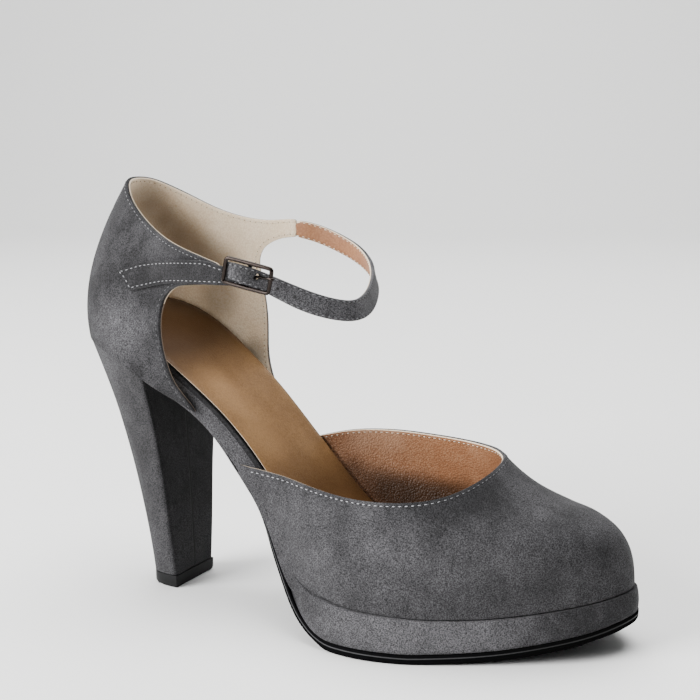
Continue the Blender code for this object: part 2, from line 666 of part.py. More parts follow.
def tube(name, points, radius, material, closed=False):
    """Round wire along a path of points, as a mesh."""
    curve = bpy.data.curves.new(name, "CURVE")
    curve.dimensions = "3D"
    curve.bevel_depth = radius * MM
    curve.bevel_resolution = 2
    curve.use_fill_caps = True
    line = curve.splines.new("POLY")
    line.points.add(len(points) - 1)
    for dot, p in zip(line.points, points):
        dot.co = (*place(p), 1.0)
    line.use_cyclic_u = closed
    wire = bpy.data.objects.new(name + "_wire", curve)
    CUTTERS.objects.link(wire)
    bpy.context.view_layer.update()
    mesh = bpy.data.meshes.new_from_object(wire.evaluated_get(bpy.context.evaluated_depsgraph_get()))
    bpy.data.objects.remove(wire)
    mesh.name = name
    mesh.materials.clear()
    mesh.materials.append(material)
    work = bmesh.new()
    work.from_mesh(mesh)
    bmesh.ops.remove_doubles(work, verts=work.verts, dist=0.000001)
    bmesh.ops.recalc_face_normals(work, faces=work.faces)
    work.to_mesh(mesh)
    work.free()
    return bpy.data.objects.new(name, mesh)


def helper(obj):
    """Tool body that only shapes another piece."""
    CUTTERS.objects.link(obj)
    obj.hide_render = True
    obj.display_type = "WIRE"
    return obj


def combine(obj, tool, operation):
    change = obj.modifiers.new(operation.lower(), "BOOLEAN")
    change.operation = operation
    change.solver = "EXACT"
    change.object = tool


def make_buckle(frame_material, prong_material, strap):
    """Two-bar frame, its prong over the right bar, and the prong's hole through the strap."""
    middle = np.array(BUCKLE_MIDDLE)
    ahead = np.array(BUCKLE_AHEAD)
    reach = np.linalg.norm(ahead)
    ahead = ahead / reach
    up = np.array([0.0, 0.0, 1.0]) - ahead * ahead[2]
    up /= np.linalg.norm(up)
    outward = np.cross(ahead, up)
    outward *= np.sign(-outward[1])
    path = []
    for a, b, first in ((1, 1, 0.0), (-1, 1, 90.0), (-1, -1, 180.0), (1, -1, 270.0)):
        hub = middle + ahead * a * (reach - BUCKLE_CORNER) + up * b * (BUCKLE_HALF - BUCKLE_CORNER)
        for step in range(4):
            angle = math.radians(first + 30.0 * step)
            path.append(hub + BUCKLE_CORNER * (ahead * math.cos(angle) + up * math.sin(angle)))
    frame = tube("buckle_frame", path, FRAME_RADIUS, frame_material, True)
    PARTS.objects.link(frame)
    inner = middle - outward * BAR_SET_IN
    bend = BUCKLE_HALF - BUCKLE_CORNER
    bar = [middle + up * BUCKLE_HALF, inner + up * bend, inner - up * bend, middle - up * BUCKLE_HALF]
    combine(frame, helper(tube("centre_bar", bar, BAR_RADIUS, frame_material)), "UNION")
    root = inner + ahead * (FRAME_RADIUS + PRONG_RADIUS + PRONG_ROOT_CLEAR)
    rest = middle + ahead * reach + up * PRONG_RISE + outward * (FRAME_RADIUS + GAP + PRONG_RADIUS)
    run = rest - root
    line = [root, root + PRONG_BEND * run, rest, rest + ahead * PRONG_PAST]
    PARTS.objects.link(tube("buckle_prong", line, PRONG_RADIUS, prong_material))
    hole = [root + share * run for share in HOLE_RUN]
    hole_tool = helper(tube("prong_hole", hole, PRONG_RADIUS + HOLE_CLEAR, strap.data.materials[0]))
    combine(strap, hole_tool, "DIFFERENCE")


def make_material(name, colour, roughness, metallic=0.0):
    material = bpy.data.materials.new(name)
    material.use_nodes = True
    shader = material.node_tree.nodes["Principled BSDF"]
    shader.inputs["Base Color"].default_value = (*colour, 1.0)
    shader.inputs["Roughness"].default_value = roughness
    shader.inputs["Metallic"].default_value = metallic
    return material


def suede(name):
    return make_material(name, SUEDE, 0.95)


def make_sole():
    """Rubber outsole, covered platform, wrapped insole board and the sock on it."""
    def sole_top(x):
        return bottom_z(x) + sole_depth(x)

    def board_foot(x):
        return board_inset(x) + heel_cup(x)

    def sock_inset(x):
        return board_inset(x) + SOCK_SET_IN

    def platform_foot(x):
        return sole_top(x) + GAP

    slab("outsole", make_material("outsole", RUBBER, 0.6), 46, OUTSOLE_BACK, (
        (lambda x: shank_inset(x) + OUTSOLE_CHAMFER, bottom_z, 0.0),
        (shank_inset, lambda x: bottom_z(x) + 0.25 * sole_depth(x), 0.0),
        (shank_inset, sole_top, 0.0),
    ))
    slab("platform", suede("platform"), 42, PLATFORM_BACK, (
        (lambda x: PLATFORM_ROUND + 0.0 * x, platform_foot, 0.0),
        (lambda x: 0.0 * x, lambda x: 0.5 * (platform_foot(x) + feather_z(x)), 0.0),
        (lambda x: PLATFORM_ROUND + PLATFORM_TUCK * ramp(x, TUCK_REACH), feather_z, 0.0),
    ))
    slab("insole_board", suede("insole_board"), 44, None, (
        (board_foot, lambda x: feather_z(x) + GAP, 0.0),
        (board_inset, lambda x: sock_z(x) - SOCK_THICK - GAP, 1.0),
    ))
    slab("insole", make_material("insole", SOCK_LEATHER, 0.5), 44, None, (
        (sock_inset, lambda x: sock_z(x) - SOCK_THICK, 1.0),
        (sock_inset, sock_z, 1.0),
    ))


def make_vamp(material, columns=53, rows=10):
    """Closed-toe front of the upper, open at the throat and underneath."""
    grid = vamp_surface(np.linspace(0.0, 1.0, columns), np.linspace(0.0, 1.0, rows))
    wall_object("vamp", grid, np.ones((rows, columns), bool), VAMP_WALL, material)


make_sole()
make_vamp(suede("vamp"))
make_quarter(suede("quarter"))
make_strip(suede("buckle_strap"))
ankle_strap = make_strap(suede("ankle_strap"))
gunmetal_frame = make_material("buckle_frame", GUNMETAL, 0.35, 1.0)
gunmetal_prong = make_material("buckle_prong", GUNMETAL, 0.35, 1.0)
make_buckle(gunmetal_frame, gunmetal_prong, ankle_strap)
make_heel(suede("heel"), make_material("heel_tip", RUBBER, 0.6))
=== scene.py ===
import math

import bpy
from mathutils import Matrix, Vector
from mathutils.bvhtree import BVHTree


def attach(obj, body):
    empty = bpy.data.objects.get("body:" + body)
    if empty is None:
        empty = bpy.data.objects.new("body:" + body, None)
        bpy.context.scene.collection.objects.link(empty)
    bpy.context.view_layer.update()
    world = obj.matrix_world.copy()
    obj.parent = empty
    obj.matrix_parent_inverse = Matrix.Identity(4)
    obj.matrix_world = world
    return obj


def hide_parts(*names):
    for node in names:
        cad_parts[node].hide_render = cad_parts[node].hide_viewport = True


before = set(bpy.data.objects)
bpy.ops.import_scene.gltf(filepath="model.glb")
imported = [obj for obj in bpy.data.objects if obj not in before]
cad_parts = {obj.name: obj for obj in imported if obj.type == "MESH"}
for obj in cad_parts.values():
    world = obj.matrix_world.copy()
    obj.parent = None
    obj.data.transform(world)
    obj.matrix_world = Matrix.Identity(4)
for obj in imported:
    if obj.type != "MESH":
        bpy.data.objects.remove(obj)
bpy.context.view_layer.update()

mm = 0.001
heelBreast = Vector((-69.4, -0.95, 0.0)) * mm      # the shoe is drawn from its heel breast, as on the last


def onShoe(x, y, z):                               # millimetres from the heel breast
    return heelBreast + Vector((x, y, z)) * mm


def placeOf(point):                                # the way back, to millimetres from the heel breast
    return (point - heelBreast) / mm


# selection and edit-mode helpers

shell = {"merge": 0.001, "corner": 50.0, "wallCorner": 55.0}       # merging in mm, sharp edges in degrees


def deselectAll():
    if bpy.context.mode != 'OBJECT':
        bpy.ops.object.mode_set(mode='OBJECT')
    bpy.ops.object.select_all(action='DESELECT')


def pickUp(piece):
    deselectAll()
    piece.select_set(True)
    bpy.context.view_layer.objects.active = piece


def editWith(piece, kind, wanted):                 # edit mode with only the wanted faces or edges selected
    pickUp(piece)
    bpy.ops.object.mode_set(mode='EDIT')
    bpy.ops.mesh.select_mode(type=kind)
    bpy.ops.mesh.select_all(action='DESELECT')
    bpy.ops.object.mode_set(mode='OBJECT')
    items = piece.data.polygons if kind == 'FACE' else piece.data.edges
    for index in wanted:
        items[index].select = True
    bpy.ops.object.mode_set(mode='EDIT')


def leaveEdit():
    bpy.ops.object.mode_set(mode='OBJECT')


def copyNode(nodeName, pieceName):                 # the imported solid, merged into one skin of quads
    piece = bpy.data.objects.new(pieceName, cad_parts[nodeName].data.copy())
    piece.data.materials.clear()
    bpy.context.scene.collection.objects.link(piece)
    pickUp(piece)
    bpy.ops.mesh.customdata_custom_splitnormals_clear()
    bpy.ops.object.mode_set(mode='EDIT')
    bpy.ops.mesh.select_all(action='SELECT')
    bpy.ops.mesh.remove_doubles(threshold=shell["merge"] * mm)
    bpy.ops.mesh.tris_convert_to_quads(face_threshold=math.pi, shape_threshold=math.pi,
                                       topology_influence=2.0)
    leaveEdit()
    return piece


def creaseEdges(piece, edges):                     # edges that stay crisp when the piece is smoothed
    editWith(piece, 'EDGE', edges)
    bpy.ops.transform.edge_crease(value=1.0)
    leaveEdit()


def roundEdges(piece, edges, width, steps=2, look=-1):       # look: material slot of the rounded strip
    editWith(piece, 'EDGE', edges)
    bpy.ops.mesh.bevel(offset=width * mm, segments=steps, affect='EDGES', clamp_overlap=True, material=look)
    leaveEdit()


def sharpEdges(piece, degrees=shell["corner"]):    # edges where two faces meet steeply
    limit = math.cos(math.radians(degrees))
    beside = {}
    for face in piece.data.polygons:
        for key in face.edge_keys:
            beside.setdefault(key, []).append(face.normal)
    found = []
    for edge in piece.data.edges:
        normals = beside.get(edge.key, [])
        if len(normals) == 2 and normals[0].dot(normals[1]) < limit:
            found.append(edge.index)
    return found


def sharpWithin(piece, verts, degrees=shell["corner"]):      # sharp edges that run between these vertices
    return [i for i in sharpEdges(piece, degrees) if set(piece.data.edges[i].vertices) <= verts]


def vertsOf(piece, wanted):                        # vertices of the faces that are wanted
    return {v for face in piece.data.polygons if wanted(face) for v in face.vertices}


def smooth(piece, levels):                         # subdivision surface, applied
    pickUp(piece)
    skin = piece.modifiers.new("skin", 'SUBSURF')
    skin.levels = levels
    skin.render_levels = levels
    bpy.ops.object.modifier_apply(modifier="skin")
    bpy.ops.object.shade_smooth()


def press(piece, spots):                           # soft troughs and ridges, each fading out all round
    farOff = 8.0                                   # past this fall nothing shows
    normals = [v.normal.copy() for v in piece.data.vertices]
    for middle, run, halfLength, halfWidth, depth in spots:
        middle = onShoe(*middle)
        run = Vector(run).normalized()
        for vert, normal in zip(piece.data.vertices, normals):
            away = vert.co - middle
            along = away.dot(run)
            across = (away - run * along).length
            fall = (along / (halfLength * mm)) ** 2 + (across / (halfWidth * mm)) ** 2
            if fall < farOff:
                vert.co += normal * depth * mm * math.exp(-fall)


def giveLooks(piece, *looks):                      # material slots, in this order
    for look in looks:
        piece.data.materials.append(look)


def joinUp(pieces, name):                          # several meshes as one piece
    deselectAll()
    for piece in pieces:
        piece.select_set(True)
    bpy.context.view_layer.objects.active = pieces[0]
    if len(pieces) > 1:
        bpy.ops.object.join()
    pieces[0].name = name
    pieces[0].data.name = name
    return pieces[0]


def finishPiece(piece, node):                # hides the imported part it stands for and hangs the piece on its body
    if node:
        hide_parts(node)
    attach(piece, "root")


# walls with an outside, a lining and a rim between them

class Wall:
    def __init__(self, piece, fold=45.0):
        self.piece = piece
        self.outside, self.lining = self.sheets(math.cos(math.radians(fold)))[:2]   # the larger is outside
        self.outsideVerts = vertsOf(piece, lambda face: face.index in self.outside)
        self.liningVerts = vertsOf(piece, lambda face: face.index in self.lining)
        sides = self.outside | self.lining
        self.rim = [face.index for face in piece.data.polygons if face.index not in sides]

    def sheets(self, limit):                       # groups of faces with no fold between them, largest first
        faces = self.piece.data.polygons
        byEdge = {}
        for face in faces:
            for key in face.edge_keys:
                byEdge.setdefault(key, []).append(face.index)
        groups = []
        left = set(range(len(faces)))
        while left:
            queue = [left.pop()]
            group = set(queue)
            while queue:
                here = faces[queue.pop()]
                for key in here.edge_keys:
                    for j in byEdge[key]:
                        if j in left and here.normal.dot(faces[j].normal) > limit:
                            left.remove(j)
                            group.add(j)
                            queue.append(j)
            groups.append(group)
        return sorted(groups, key=lambda group: -sum(faces[i].area for i in group))

    def turnOver(self):                            # the outside and the lining change places
        self.outside, self.lining = self.lining, self.outside
        self.outsideVerts, self.liningVerts = self.liningVerts, self.outsideVerts

    def rimRuns(self, keep):                       # the outside's rim as runs of (point, facing), where kept
        mesh = self.piece.data
        outsideEdges = {key for i in self.outside for key in mesh.polygons[i].edge_keys}
        links = {}
        facing = {}
        for i in self.rim:
            face = mesh.polygons[i]
            for key in face.edge_keys:
                middle = placeOf((mesh.vertices[key[0]].co + mesh.vertices[key[1]].co) * 0.5)
                if key in outsideEdges and keep(middle, face.normal):
                    for a, b in (key, key[::-1]):
                        links.setdefault(a, []).append(b)
                        facing.setdefault(a, []).append(face.normal)
        runs = []
        while links:
            start = min(links, key=lambda v: (len(links[v]), v))
            run = [start]
            while links.get(run[-1]):
                here = run[-1]
                ahead = links[here].pop(0)
                links[ahead].remove(here)
                run.append(ahead)
            for v in run:
                if v in links and not links[v]:
                    del links[v]
            if len(run) > 1:
                points = [mesh.vertices[v].co.copy() for v in run]
                runs.append(list(zip(points, (sum(facing[v], Vector()).normalized() for v in run))))
            links.pop(start, None)
        return runs

    def paint(self, looks, bare):                  # outside, lining, and a bare strip beside the lining
        mesh = self.piece.data
        across = []
        for edge in mesh.edges:
            a, b = edge.vertices
            outer = (a in self.outsideVerts) + (b in self.outsideVerts)
            inner = (a in self.liningVerts) + (b in self.liningVerts)
            if outer == 1 and inner == 1:
                across.append(edge.index)
        before = len(mesh.vertices)
        editWith(self.piece, 'EDGE', across)
        bpy.ops.mesh.subdivide(number_cuts=1)
        leaveEdit()
        for edge in mesh.edges:
            a, b = sorted(edge.vertices)
            if b >= before and a in self.liningVerts:
                mesh.vertices[b].co = mesh.vertices[a].co.lerp(mesh.vertices[b].co, 2.0 * bare)
        giveLooks(self.piece, *looks)
        for face in mesh.polygons:
            verts = set(face.vertices)
            if verts <= self.liningVerts:
                face.material_index = 1
            elif verts & self.outsideVerts:
                face.material_index = 0
            else:
                face.material_index = 2

    def corners(self, skip=None):                  # edges where the rim turns into the outside or the lining
        mesh = self.piece.data
        found = []
        for index in sharpEdges(self.piece, shell["wallCorner"]):
            pair = set(mesh.edges[index].vertices)
            middle = placeOf(sum((mesh.vertices[v].co for v in pair), Vector()) * 0.5)
            if (pair <= self.outsideVerts or pair <= self.liningVerts) and not (skip and skip(middle)):
                found.append(index)
        return found


def skinTree(piece, look):                         # the finished surface of one material
    mesh = piece.data
    faces = [f.vertices[:] for f in mesh.polygons if f.material_index == look]
    return BVHTree.FromPolygons([v.co for v in mesh.vertices], faces)


# stitches

stitch = {"pitch": 2.3, "length": 1.25, "radius": 0.15, "lift": 0.05, "pinhole": 0.22,
          "sides": 6, "rings": 5, "pathStep": 0.8}


def evenPoints(points, step):                      # smooth path through the points, evenly spaced
    parts = 8                                      # between two points
    dense = []
    count = len(points)
    for k in range(count - 1):
        p0, p1 = points[max(k - 1, 0)], points[k]
        p2, p3 = points[k + 1], points[min(k + 2, count - 1)]
        for part in range(parts):
            t = part / parts
            dense.append(0.5 * (2 * p1 + (p2 - p0) * t + (2 * p0 - 5 * p1 + 4 * p2 - p3) * t * t
                                + (3 * p1 - p0 - 3 * p2 + p3) * t ** 3))
    dense.append(points[-1].copy())
    even = [dense[0]]
    carried = 0.0
    for a, b in zip(dense[:-1], dense[1:]):
        length = (b - a).length
        while carried + length >= step and length > 0.0:
            a = a + (b - a) * ((step - carried) / length)
            length = (b - a).length
            carried = 0.0
            even.append(a)
        carried += length
    return even


def seatRun(run, inset, tree, lift):               # a run moved in from the rim and laid on a surface
    inside = [point - facing * inset * mm for point, facing in run]
    laid = []
    for point in evenPoints(inside, stitch["pathStep"] * mm):
        spot, normal, _, _ = tree.find_nearest(point)
        laid.append(spot + normal * lift * mm)
    return laid


def bead(radius, stretch, along):                  # one rounded bead on the X axis
    deselectAll()
    bpy.ops.mesh.primitive_uv_sphere_add(segments=stitch["sides"], ring_count=stitch["rings"],
                                         radius=radius * mm, location=(0, 0, 0))
    bpy.ops.object.mode_set(mode='EDIT')
    bpy.ops.mesh.select_all(action='SELECT')
    bpy.ops.transform.resize(value=(stretch, 1.0, 1.0))
    bpy.ops.transform.translate(value=(along * mm, 0.0, 0.0))
    leaveEdit()
    return bpy.context.object


def stitchRow(points, name, look, holeLook):       # a stitch and its pinhole, a dark bead of painted shade, arrayed and bent on a path
    path = bpy.data.curves.new(name + "Path", 'CURVE')
    path.dimensions = '3D'
    line = path.splines.new('POLY')
    line.points.add(len(points) - 1)
    for dot, p in zip(line.points, points):
        dot.co = (*p, 1.0)
    guide = bpy.data.objects.new(name + "Path", path)
    bpy.context.scene.collection.objects.link(guide)
    hole = bead(stitch["pinhole"], 1.0, 0.0)
    giveLooks(hole, holeLook)
    row = bead(stitch["radius"], 0.5 * stitch["length"] / stitch["radius"], 0.5 * stitch["pitch"])
    giveLooks(row, look)
    joinUp([row, hole], name)
    many = row.modifiers.new("many", 'ARRAY')
    many.fit_type = 'FIT_CURVE'
    many.curve = guide
    many.use_relative_offset = False
    many.use_constant_offset = True
    many.constant_offset_displace = (stitch["pitch"] * mm, 0.0, 0.0)
    bend = row.modifiers.new("bend", 'CURVE')
    bend.object = guide
    bend.deform_axis = 'POS_X'
    bpy.ops.object.modifier_apply(modifier="many")
    bpy.ops.object.modifier_apply(modifier="bend")
    bpy.ops.object.shade_smooth()
    bpy.data.objects.remove(guide)
    return row


def stitchRuns(runs, inset, tree, looks, name, short=0):     # short: steps left off each end
    rows = []
    for run in runs:
        seat = seatRun(run, inset, tree, stitch["lift"])
        rows.append(stitchRow(seat[short:len(seat) - short], name, *looks))
    finishPiece(joinUp(rows, name), None)


# finishes

class Wire:                                        # a socket that takes part in sums
    def __init__(self, tree, socket):
        self.tree = tree
        self.socket = socket

    def sum(self, operation, first, second):
        node = self.tree.nodes.new('ShaderNodeMath')
        node.operation = operation
        for slot, value in zip(node.inputs, (first, second)):
            plug(self.tree, slot, value)
        return Wire(self.tree, node.outputs[0])

    def __add__(self, other):
        return self.sum('ADD', self, other)

    def __radd__(self, other):
        return self.sum('ADD', other, self)

    def __sub__(self, other):
        return self.sum('SUBTRACT', self, other)

    def __rsub__(self, other):
        return self.sum('SUBTRACT', other, self)

    def __mul__(self, other):
        return self.sum('MULTIPLY', self, other)

    def __rmul__(self, other):
        return self.sum('MULTIPLY', other, self)


def plug(tree, slot, value):
    if isinstance(value, Wire):
        tree.links.new(value.socket, slot)
    else:
        slot.default_value = value


class Finish:
    def __init__(self, name, roughness, metallic=0.0):
        self.material = bpy.data.materials.new(name)
        self.material.use_nodes = True
        self.tree = self.material.node_tree
        self.shader = self.tree.nodes["Principled BSDF"]
        self.set("Roughness", roughness)
        self.set("Metallic", metallic)
        self.place = self.node('ShaderNodeTexCoord', out="Object")

    def node(self, kind, settings=None, sockets=None, out=0):
        made = self.tree.nodes.new(kind)
        for key, value in (settings or {}).items():
            setattr(made, key, value)
        for key, value in (sockets or {}).items():
            plug(self.tree, made.inputs[key], value)
        return Wire(self.tree, made.outputs[out])

    def set(self, socket, value):
        plug(self.tree, self.shader.inputs[socket], value)

    def noise(self, size, detail=3.0, rough=0.5, twist=0.0, stretch=(1.0, 1.0, 1.0)):   # size in mm
        spot = self.node('ShaderNodeMapping', {}, {"Vector": self.place, "Scale": stretch})
        return self.node('ShaderNodeTexNoise', {},
                         {"Vector": spot, "Scale": 1.0 / (size * mm), "Detail": detail,
                          "Roughness": rough, "Distortion": twist})

    def spread(self, value, low, high):            # a value stretched to 0..1 between low and high
        return self.node('ShaderNodeMapRange', {"interpolation_type": 'SMOOTHSTEP'},
                         {"Value": value, "From Min": low, "From Max": high})

    def near(self, middle, size, core=0.15):       # 1 at a place on the shoe, fading to 0 at its size in mm
        away = self.node('ShaderNodeVectorMath', {"operation": 'DISTANCE'},
                         {0: self.place, 1: onShoe(*middle)}, "Value")
        return 1.0 - self.spread(away, core * size * mm, size * mm)

    def mix(self, share, first, second, blend='MIX'):        # two colours
        pair = [tone if isinstance(tone, Wire) else (*tone, 1.0) for tone in (first, second)]
        return self.node('ShaderNodeMix', {"data_type": 'RGBA', "blend_type": blend},
                         {0: share, 6: pair[0], 7: pair[1]}, 2)        # the node's sockets for colours

    def bump(self, height, strength, depth):       # depth in mm
        self.set("Normal", self.node('ShaderNodeBump', {}, {"Height": height, "Strength": strength,
                                                            "Distance": depth * mm}, "Normal"))


def dimmed(tone, share):
    return [c * share for c in tone]


suede = {"dark": (0.028, 0.0275, 0.029), "light": (0.100, 0.098, 0.103), "rough": 0.95,
         "fleckDark": (0.30, 0.30, 0.30), "fleckLight": (1.92, 1.91, 1.93), "fleckRange": (0.34, 0.68),
         "cloud": 22.0, "mottle": 6.0, "grain": 0.45, "mottleLie": (1.0, 1.0, 0.7), "twist": 0.3,
         "cloudShare": 0.45, "mottleShare": 0.55, "toneRange": (0.30, 0.72), "contrast": 0.6,
         "sheen": 0.06, "sheenRough": 0.5, "shine": 0.10,
         "grainRise": 0.8, "mottleRise": 0.5, "bump": 0.6, "depth": 0.35}


def suedeFinish(name, dim, level=0.2, zones=()):   # grey suede, dimmed, with zones of painted light and shade
    look = Finish(name, suede["rough"])
    cloud = look.noise(suede["cloud"], detail=3.0, rough=0.5, twist=suede["twist"])
    mottle = look.noise(suede["mottle"], detail=4.0, rough=0.6, twist=suede["twist"],
                        stretch=suede["mottleLie"])
    grain = look.noise(suede["grain"], detail=3.0, rough=0.75)
    blend = cloud * suede["cloudShare"] + mottle * suede["mottleShare"]
    tone = look.spread(blend, *suede["toneRange"]) * suede["contrast"] + level
    for middle, size, change in zones:
        tone = tone + look.near(middle, size) * change
    base = look.mix(tone, dimmed(suede["dark"], dim), dimmed(suede["light"], dim))
    fleck = look.mix(look.spread(grain, *suede["fleckRange"]), suede["fleckDark"], suede["fleckLight"])
    look.set("Base Color", look.mix(1.0, base, fleck, 'MULTIPLY'))
    look.set("Sheen Weight", suede["sheen"])
    look.set("Sheen Roughness", suede["sheenRough"])
    look.set("Specular IOR Level", suede["shine"])
    look.bump(grain * suede["grainRise"] + mottle * suede["mottleRise"], suede["bump"], suede["depth"])
    return look.material


leather = {"turn": (0.5, 0.6, 0.4), "long": (1.0, 1.9, 1.0), "wander": 14.0, "pores": 0.7,
           "wanderShare": 0.45, "poreShare": 0.25, "cellShare": 0.35, "toneRange": (0.25, 0.72),
           "polish": 0.14, "crown": 0.6, "poreRise": 0.5, "bump": 0.6}


def grainLeather(name, dark, light, pebble, rough, depth, zones=(), shine=0.4):     # linings, sock, edges
    look = Finish(name, rough)
    lie = look.node('ShaderNodeMapping', {}, {"Vector": look.place, "Rotation": leather["turn"],
                                              "Scale": leather["long"]})
    cells = look.node('ShaderNodeTexVoronoi', {"feature": 'F1'},
                      {"Vector": lie, "Scale": 1.0 / (pebble * mm), "Randomness": 1.0}, "Distance")
    wander = look.noise(leather["wander"], detail=3.0, rough=0.55, twist=0.4)
    pores = look.noise(leather["pores"], detail=3.0, rough=0.65)
    blend = wander * leather["wanderShare"] + pores * leather["poreShare"] + cells * leather["cellShare"]
    tone = look.mix(look.spread(blend, *leather["toneRange"]), light, dark)
    for middle, size, core, share, tint in zones:  # painted shade and painted highlight
        tone = look.mix(look.near(middle, size, core) * share, tone, tint)
    look.set("Base Color", tone)
    look.set("Roughness", leather["polish"] * pores + (rough - 0.5 * leather["polish"]))
    look.set("Specular IOR Level", shine)
    look.bump(leather["crown"] - cells + pores * leather["poreRise"], leather["bump"], depth)
    return look.material


thread = {"rough": 0.75, "ply": 0.3, "plyDark": 0.7, "bump": 0.3, "depth": 0.1,
          "shadeTone": (0.07, 0.07, 0.074), "shadeShare": 0.85}


def threadFinish(name, tone, shadedAt=None):           # the last argument: where the thread is darkened, painted shade
    look = Finish(name, thread["rough"])
    ply = look.noise(thread["ply"], detail=2.0, rough=0.5)
    shade = look.mix(ply, dimmed(tone, thread["plyDark"]), tone)
    if shadedAt:
        shade = look.mix(thread["shadeShare"] * look.near(*shadedAt), shade, thread["shadeTone"])
    look.set("Base Color", shade)
    look.bump(ply, thread["bump"], thread["depth"])
    return look.material


soleRubber = {"rough": 0.38, "dust": 2.2, "dustRough": 0.2, "crumb": 0.5, "bump": 0.15, "depth": 0.1,
              "toe": ((180.0, 5.0, 10.0), 70.0, 0.35), "toeShadeShare": 0.92, "toeShadeTone": (0.003, 0.003, 0.003)}


def rubberFinish(name, dark, light, shine):        # dusty rubber, with painted shade round the toe
    look = Finish(name, soleRubber["rough"])
    dust = look.noise(soleRubber["dust"], detail=4.0, rough=0.6)
    shade = soleRubber["toeShadeShare"] * look.near(*soleRubber["toe"])
    look.set("Base Color", look.mix(shade, look.mix(dust, dark, light), soleRubber["toeShadeTone"]))
    look.set("Roughness", soleRubber["dustRough"] * dust + soleRubber["rough"])
    look.set("Specular IOR Level", shine)
    crumb = look.noise(soleRubber["crumb"], detail=2.0, rough=0.6)
    look.bump(crumb, soleRubber["bump"], soleRubber["depth"])
    return look.material


metal = {"dark": (0.006, 0.0052, 0.005), "light": (0.042, 0.033, 0.029), "rough": 0.12, "wear": 1.4,
         "wearRough": 0.22}


def gunmetalFinish(name):
    look = Finish(name, metal["rough"], metallic=1.0)
    wear = look.noise(metal["wear"], detail=4.0, rough=0.6)
    look.set("Base Color", look.mix(wear, metal["dark"], metal["light"]))
    look.set("Roughness", metal["wearRough"] * wear + metal["rough"])
    return look.material


# zones of painted light and shade on the suede: middle, size in mm, how much lighter or darker
vampZones = (((109.0, -35.0, 42.0), 26.0, 0.25),   # outer cheek
             ((114.0, -31.0, 53.0), 22.0, -0.55),  # under the topline
             ((130.0, -14.0, 58.0), 22.0, -0.35),  # front of the throat
             ((146.0, -4.0, 54.0), 18.0, 0.18),    # top of the toe box
             ((157.0, -3.0, 49.5), 13.0, -0.28),   # trough ahead of it
             ((175.0, 3.0, 34.0), 22.0, -0.30),    # toe
             ((148.0, -21.0, 37.0), 14.0, 0.08),   # side of the toe box
             ((130.0, -29.0, 36.0), 16.0, 0.16),   # ball
             ((136.0, -26.0, 27.0), 16.0, -0.12))  # above the platform's seam
counterZones = (((-12.0, -29.0, 107.0), 19.0, 0.75),)
heelZones = (((-22.0, -22.0, 94.0), 20.0, 0.35), ((-8.0, -14.0, 18.0), 24.0, 0.25))
breastZones = (((-1.0, -6.0, 8.0), 34.0, 0.6), ((-5.0, -6.0, 82.0), 34.0, -0.4))
platformZones = (((172.0, 0.0, 16.0), 36.0, -0.55),          # toe
                 ((66.0, -33.0, 18.0), 26.0, -0.3),          # waist
                 ((122.0, -34.0, 12.0), 44.0, 0.4))          # outer side
strapZones = (((54.0, -40.0, 132.5), 11.0, -0.6),)           # painted shade at the buckle

# zones of painted shade and light on the leathers: middle, size in mm, full share of the size, strength,
# tint
umber = (0.030, 0.012, 0.003)
highlightHoney = (0.46, 0.27, 0.125)
peach = (0.55, 0.34, 0.22)
taupe = (0.105, 0.068, 0.038)
sockZones = (((-60.0, 0.0, 125.0), 94.0, 0.72, 0.9, umber),  # heel end, in shade
             ((130.0, 5.0, 20.0), 98.0, 0.74, 0.72, umber),  # toe end, in shade
             ((18.0, -9.0, 86.0), 13.0, 0.1, 0.2, highlightHoney),    # painted highlight streak down the middle
             ((25.0, -8.5, 79.5), 13.0, 0.1, 0.2, highlightHoney),
             ((33.0, -8.0, 72.0), 13.0, 0.1, 0.2, highlightHoney),
             ((41.0, -7.0, 64.5), 13.0, 0.1, 0.2, highlightHoney))
vampLiningZones = (((58.0, 29.0, 46.0), 9.0, 0.15, 0.6, umber),        # shade along the sock's inner edge
                   ((67.0, 31.0, 41.0), 12.0, 0.2, 0.75, umber),
                   ((76.0, 33.0, 37.0), 14.0, 0.3, 0.9, umber),
                   ((86.0, 36.0, 35.0), 16.0, 0.3, 0.9, umber),
                   ((96.0, 39.0, 36.0), 13.0, 0.3, 0.85, umber),
                   ((104.0, 39.0, 40.0), 11.0, 0.2, 0.6, umber),
                   ((61.0, 30.0, 60.0), 10.0, 0.2, 0.4, peach),        # light below the topline
                   ((73.0, 33.0, 60.0), 10.0, 0.2, 0.3, peach))
counterLiningZones = (((-26.0, 7.0, 155.0), 12.0, 0.2, 0.55, taupe),   # shade down the back, inner side
                      ((-24.0, 13.0, 148.5), 13.0, 0.2, 0.6, taupe),
                      ((-20.5, 18.0, 141.5), 14.0, 0.2, 0.6, taupe),
                      ((-15.0, 21.0, 135.5), 15.0, 0.2, 0.6, taupe),
                      ((-8.0, 24.0, 129.0), 15.0, 0.2, 0.6, taupe),
                      ((0.0, 26.0, 125.0), 13.0, 0.2, 0.4, taupe),
                      ((-3.0, 27.0, 113.0), 13.0, 0.2, 0.5, taupe),
                      ((13.0, 28.5, 91.0), 9.0, 0.2, 0.5, taupe))      # beside the sock
throatFront = ((132.0, -4.0, 62.0), 36.0, 0.55)    # painted shade on the stitches at the front of the throat
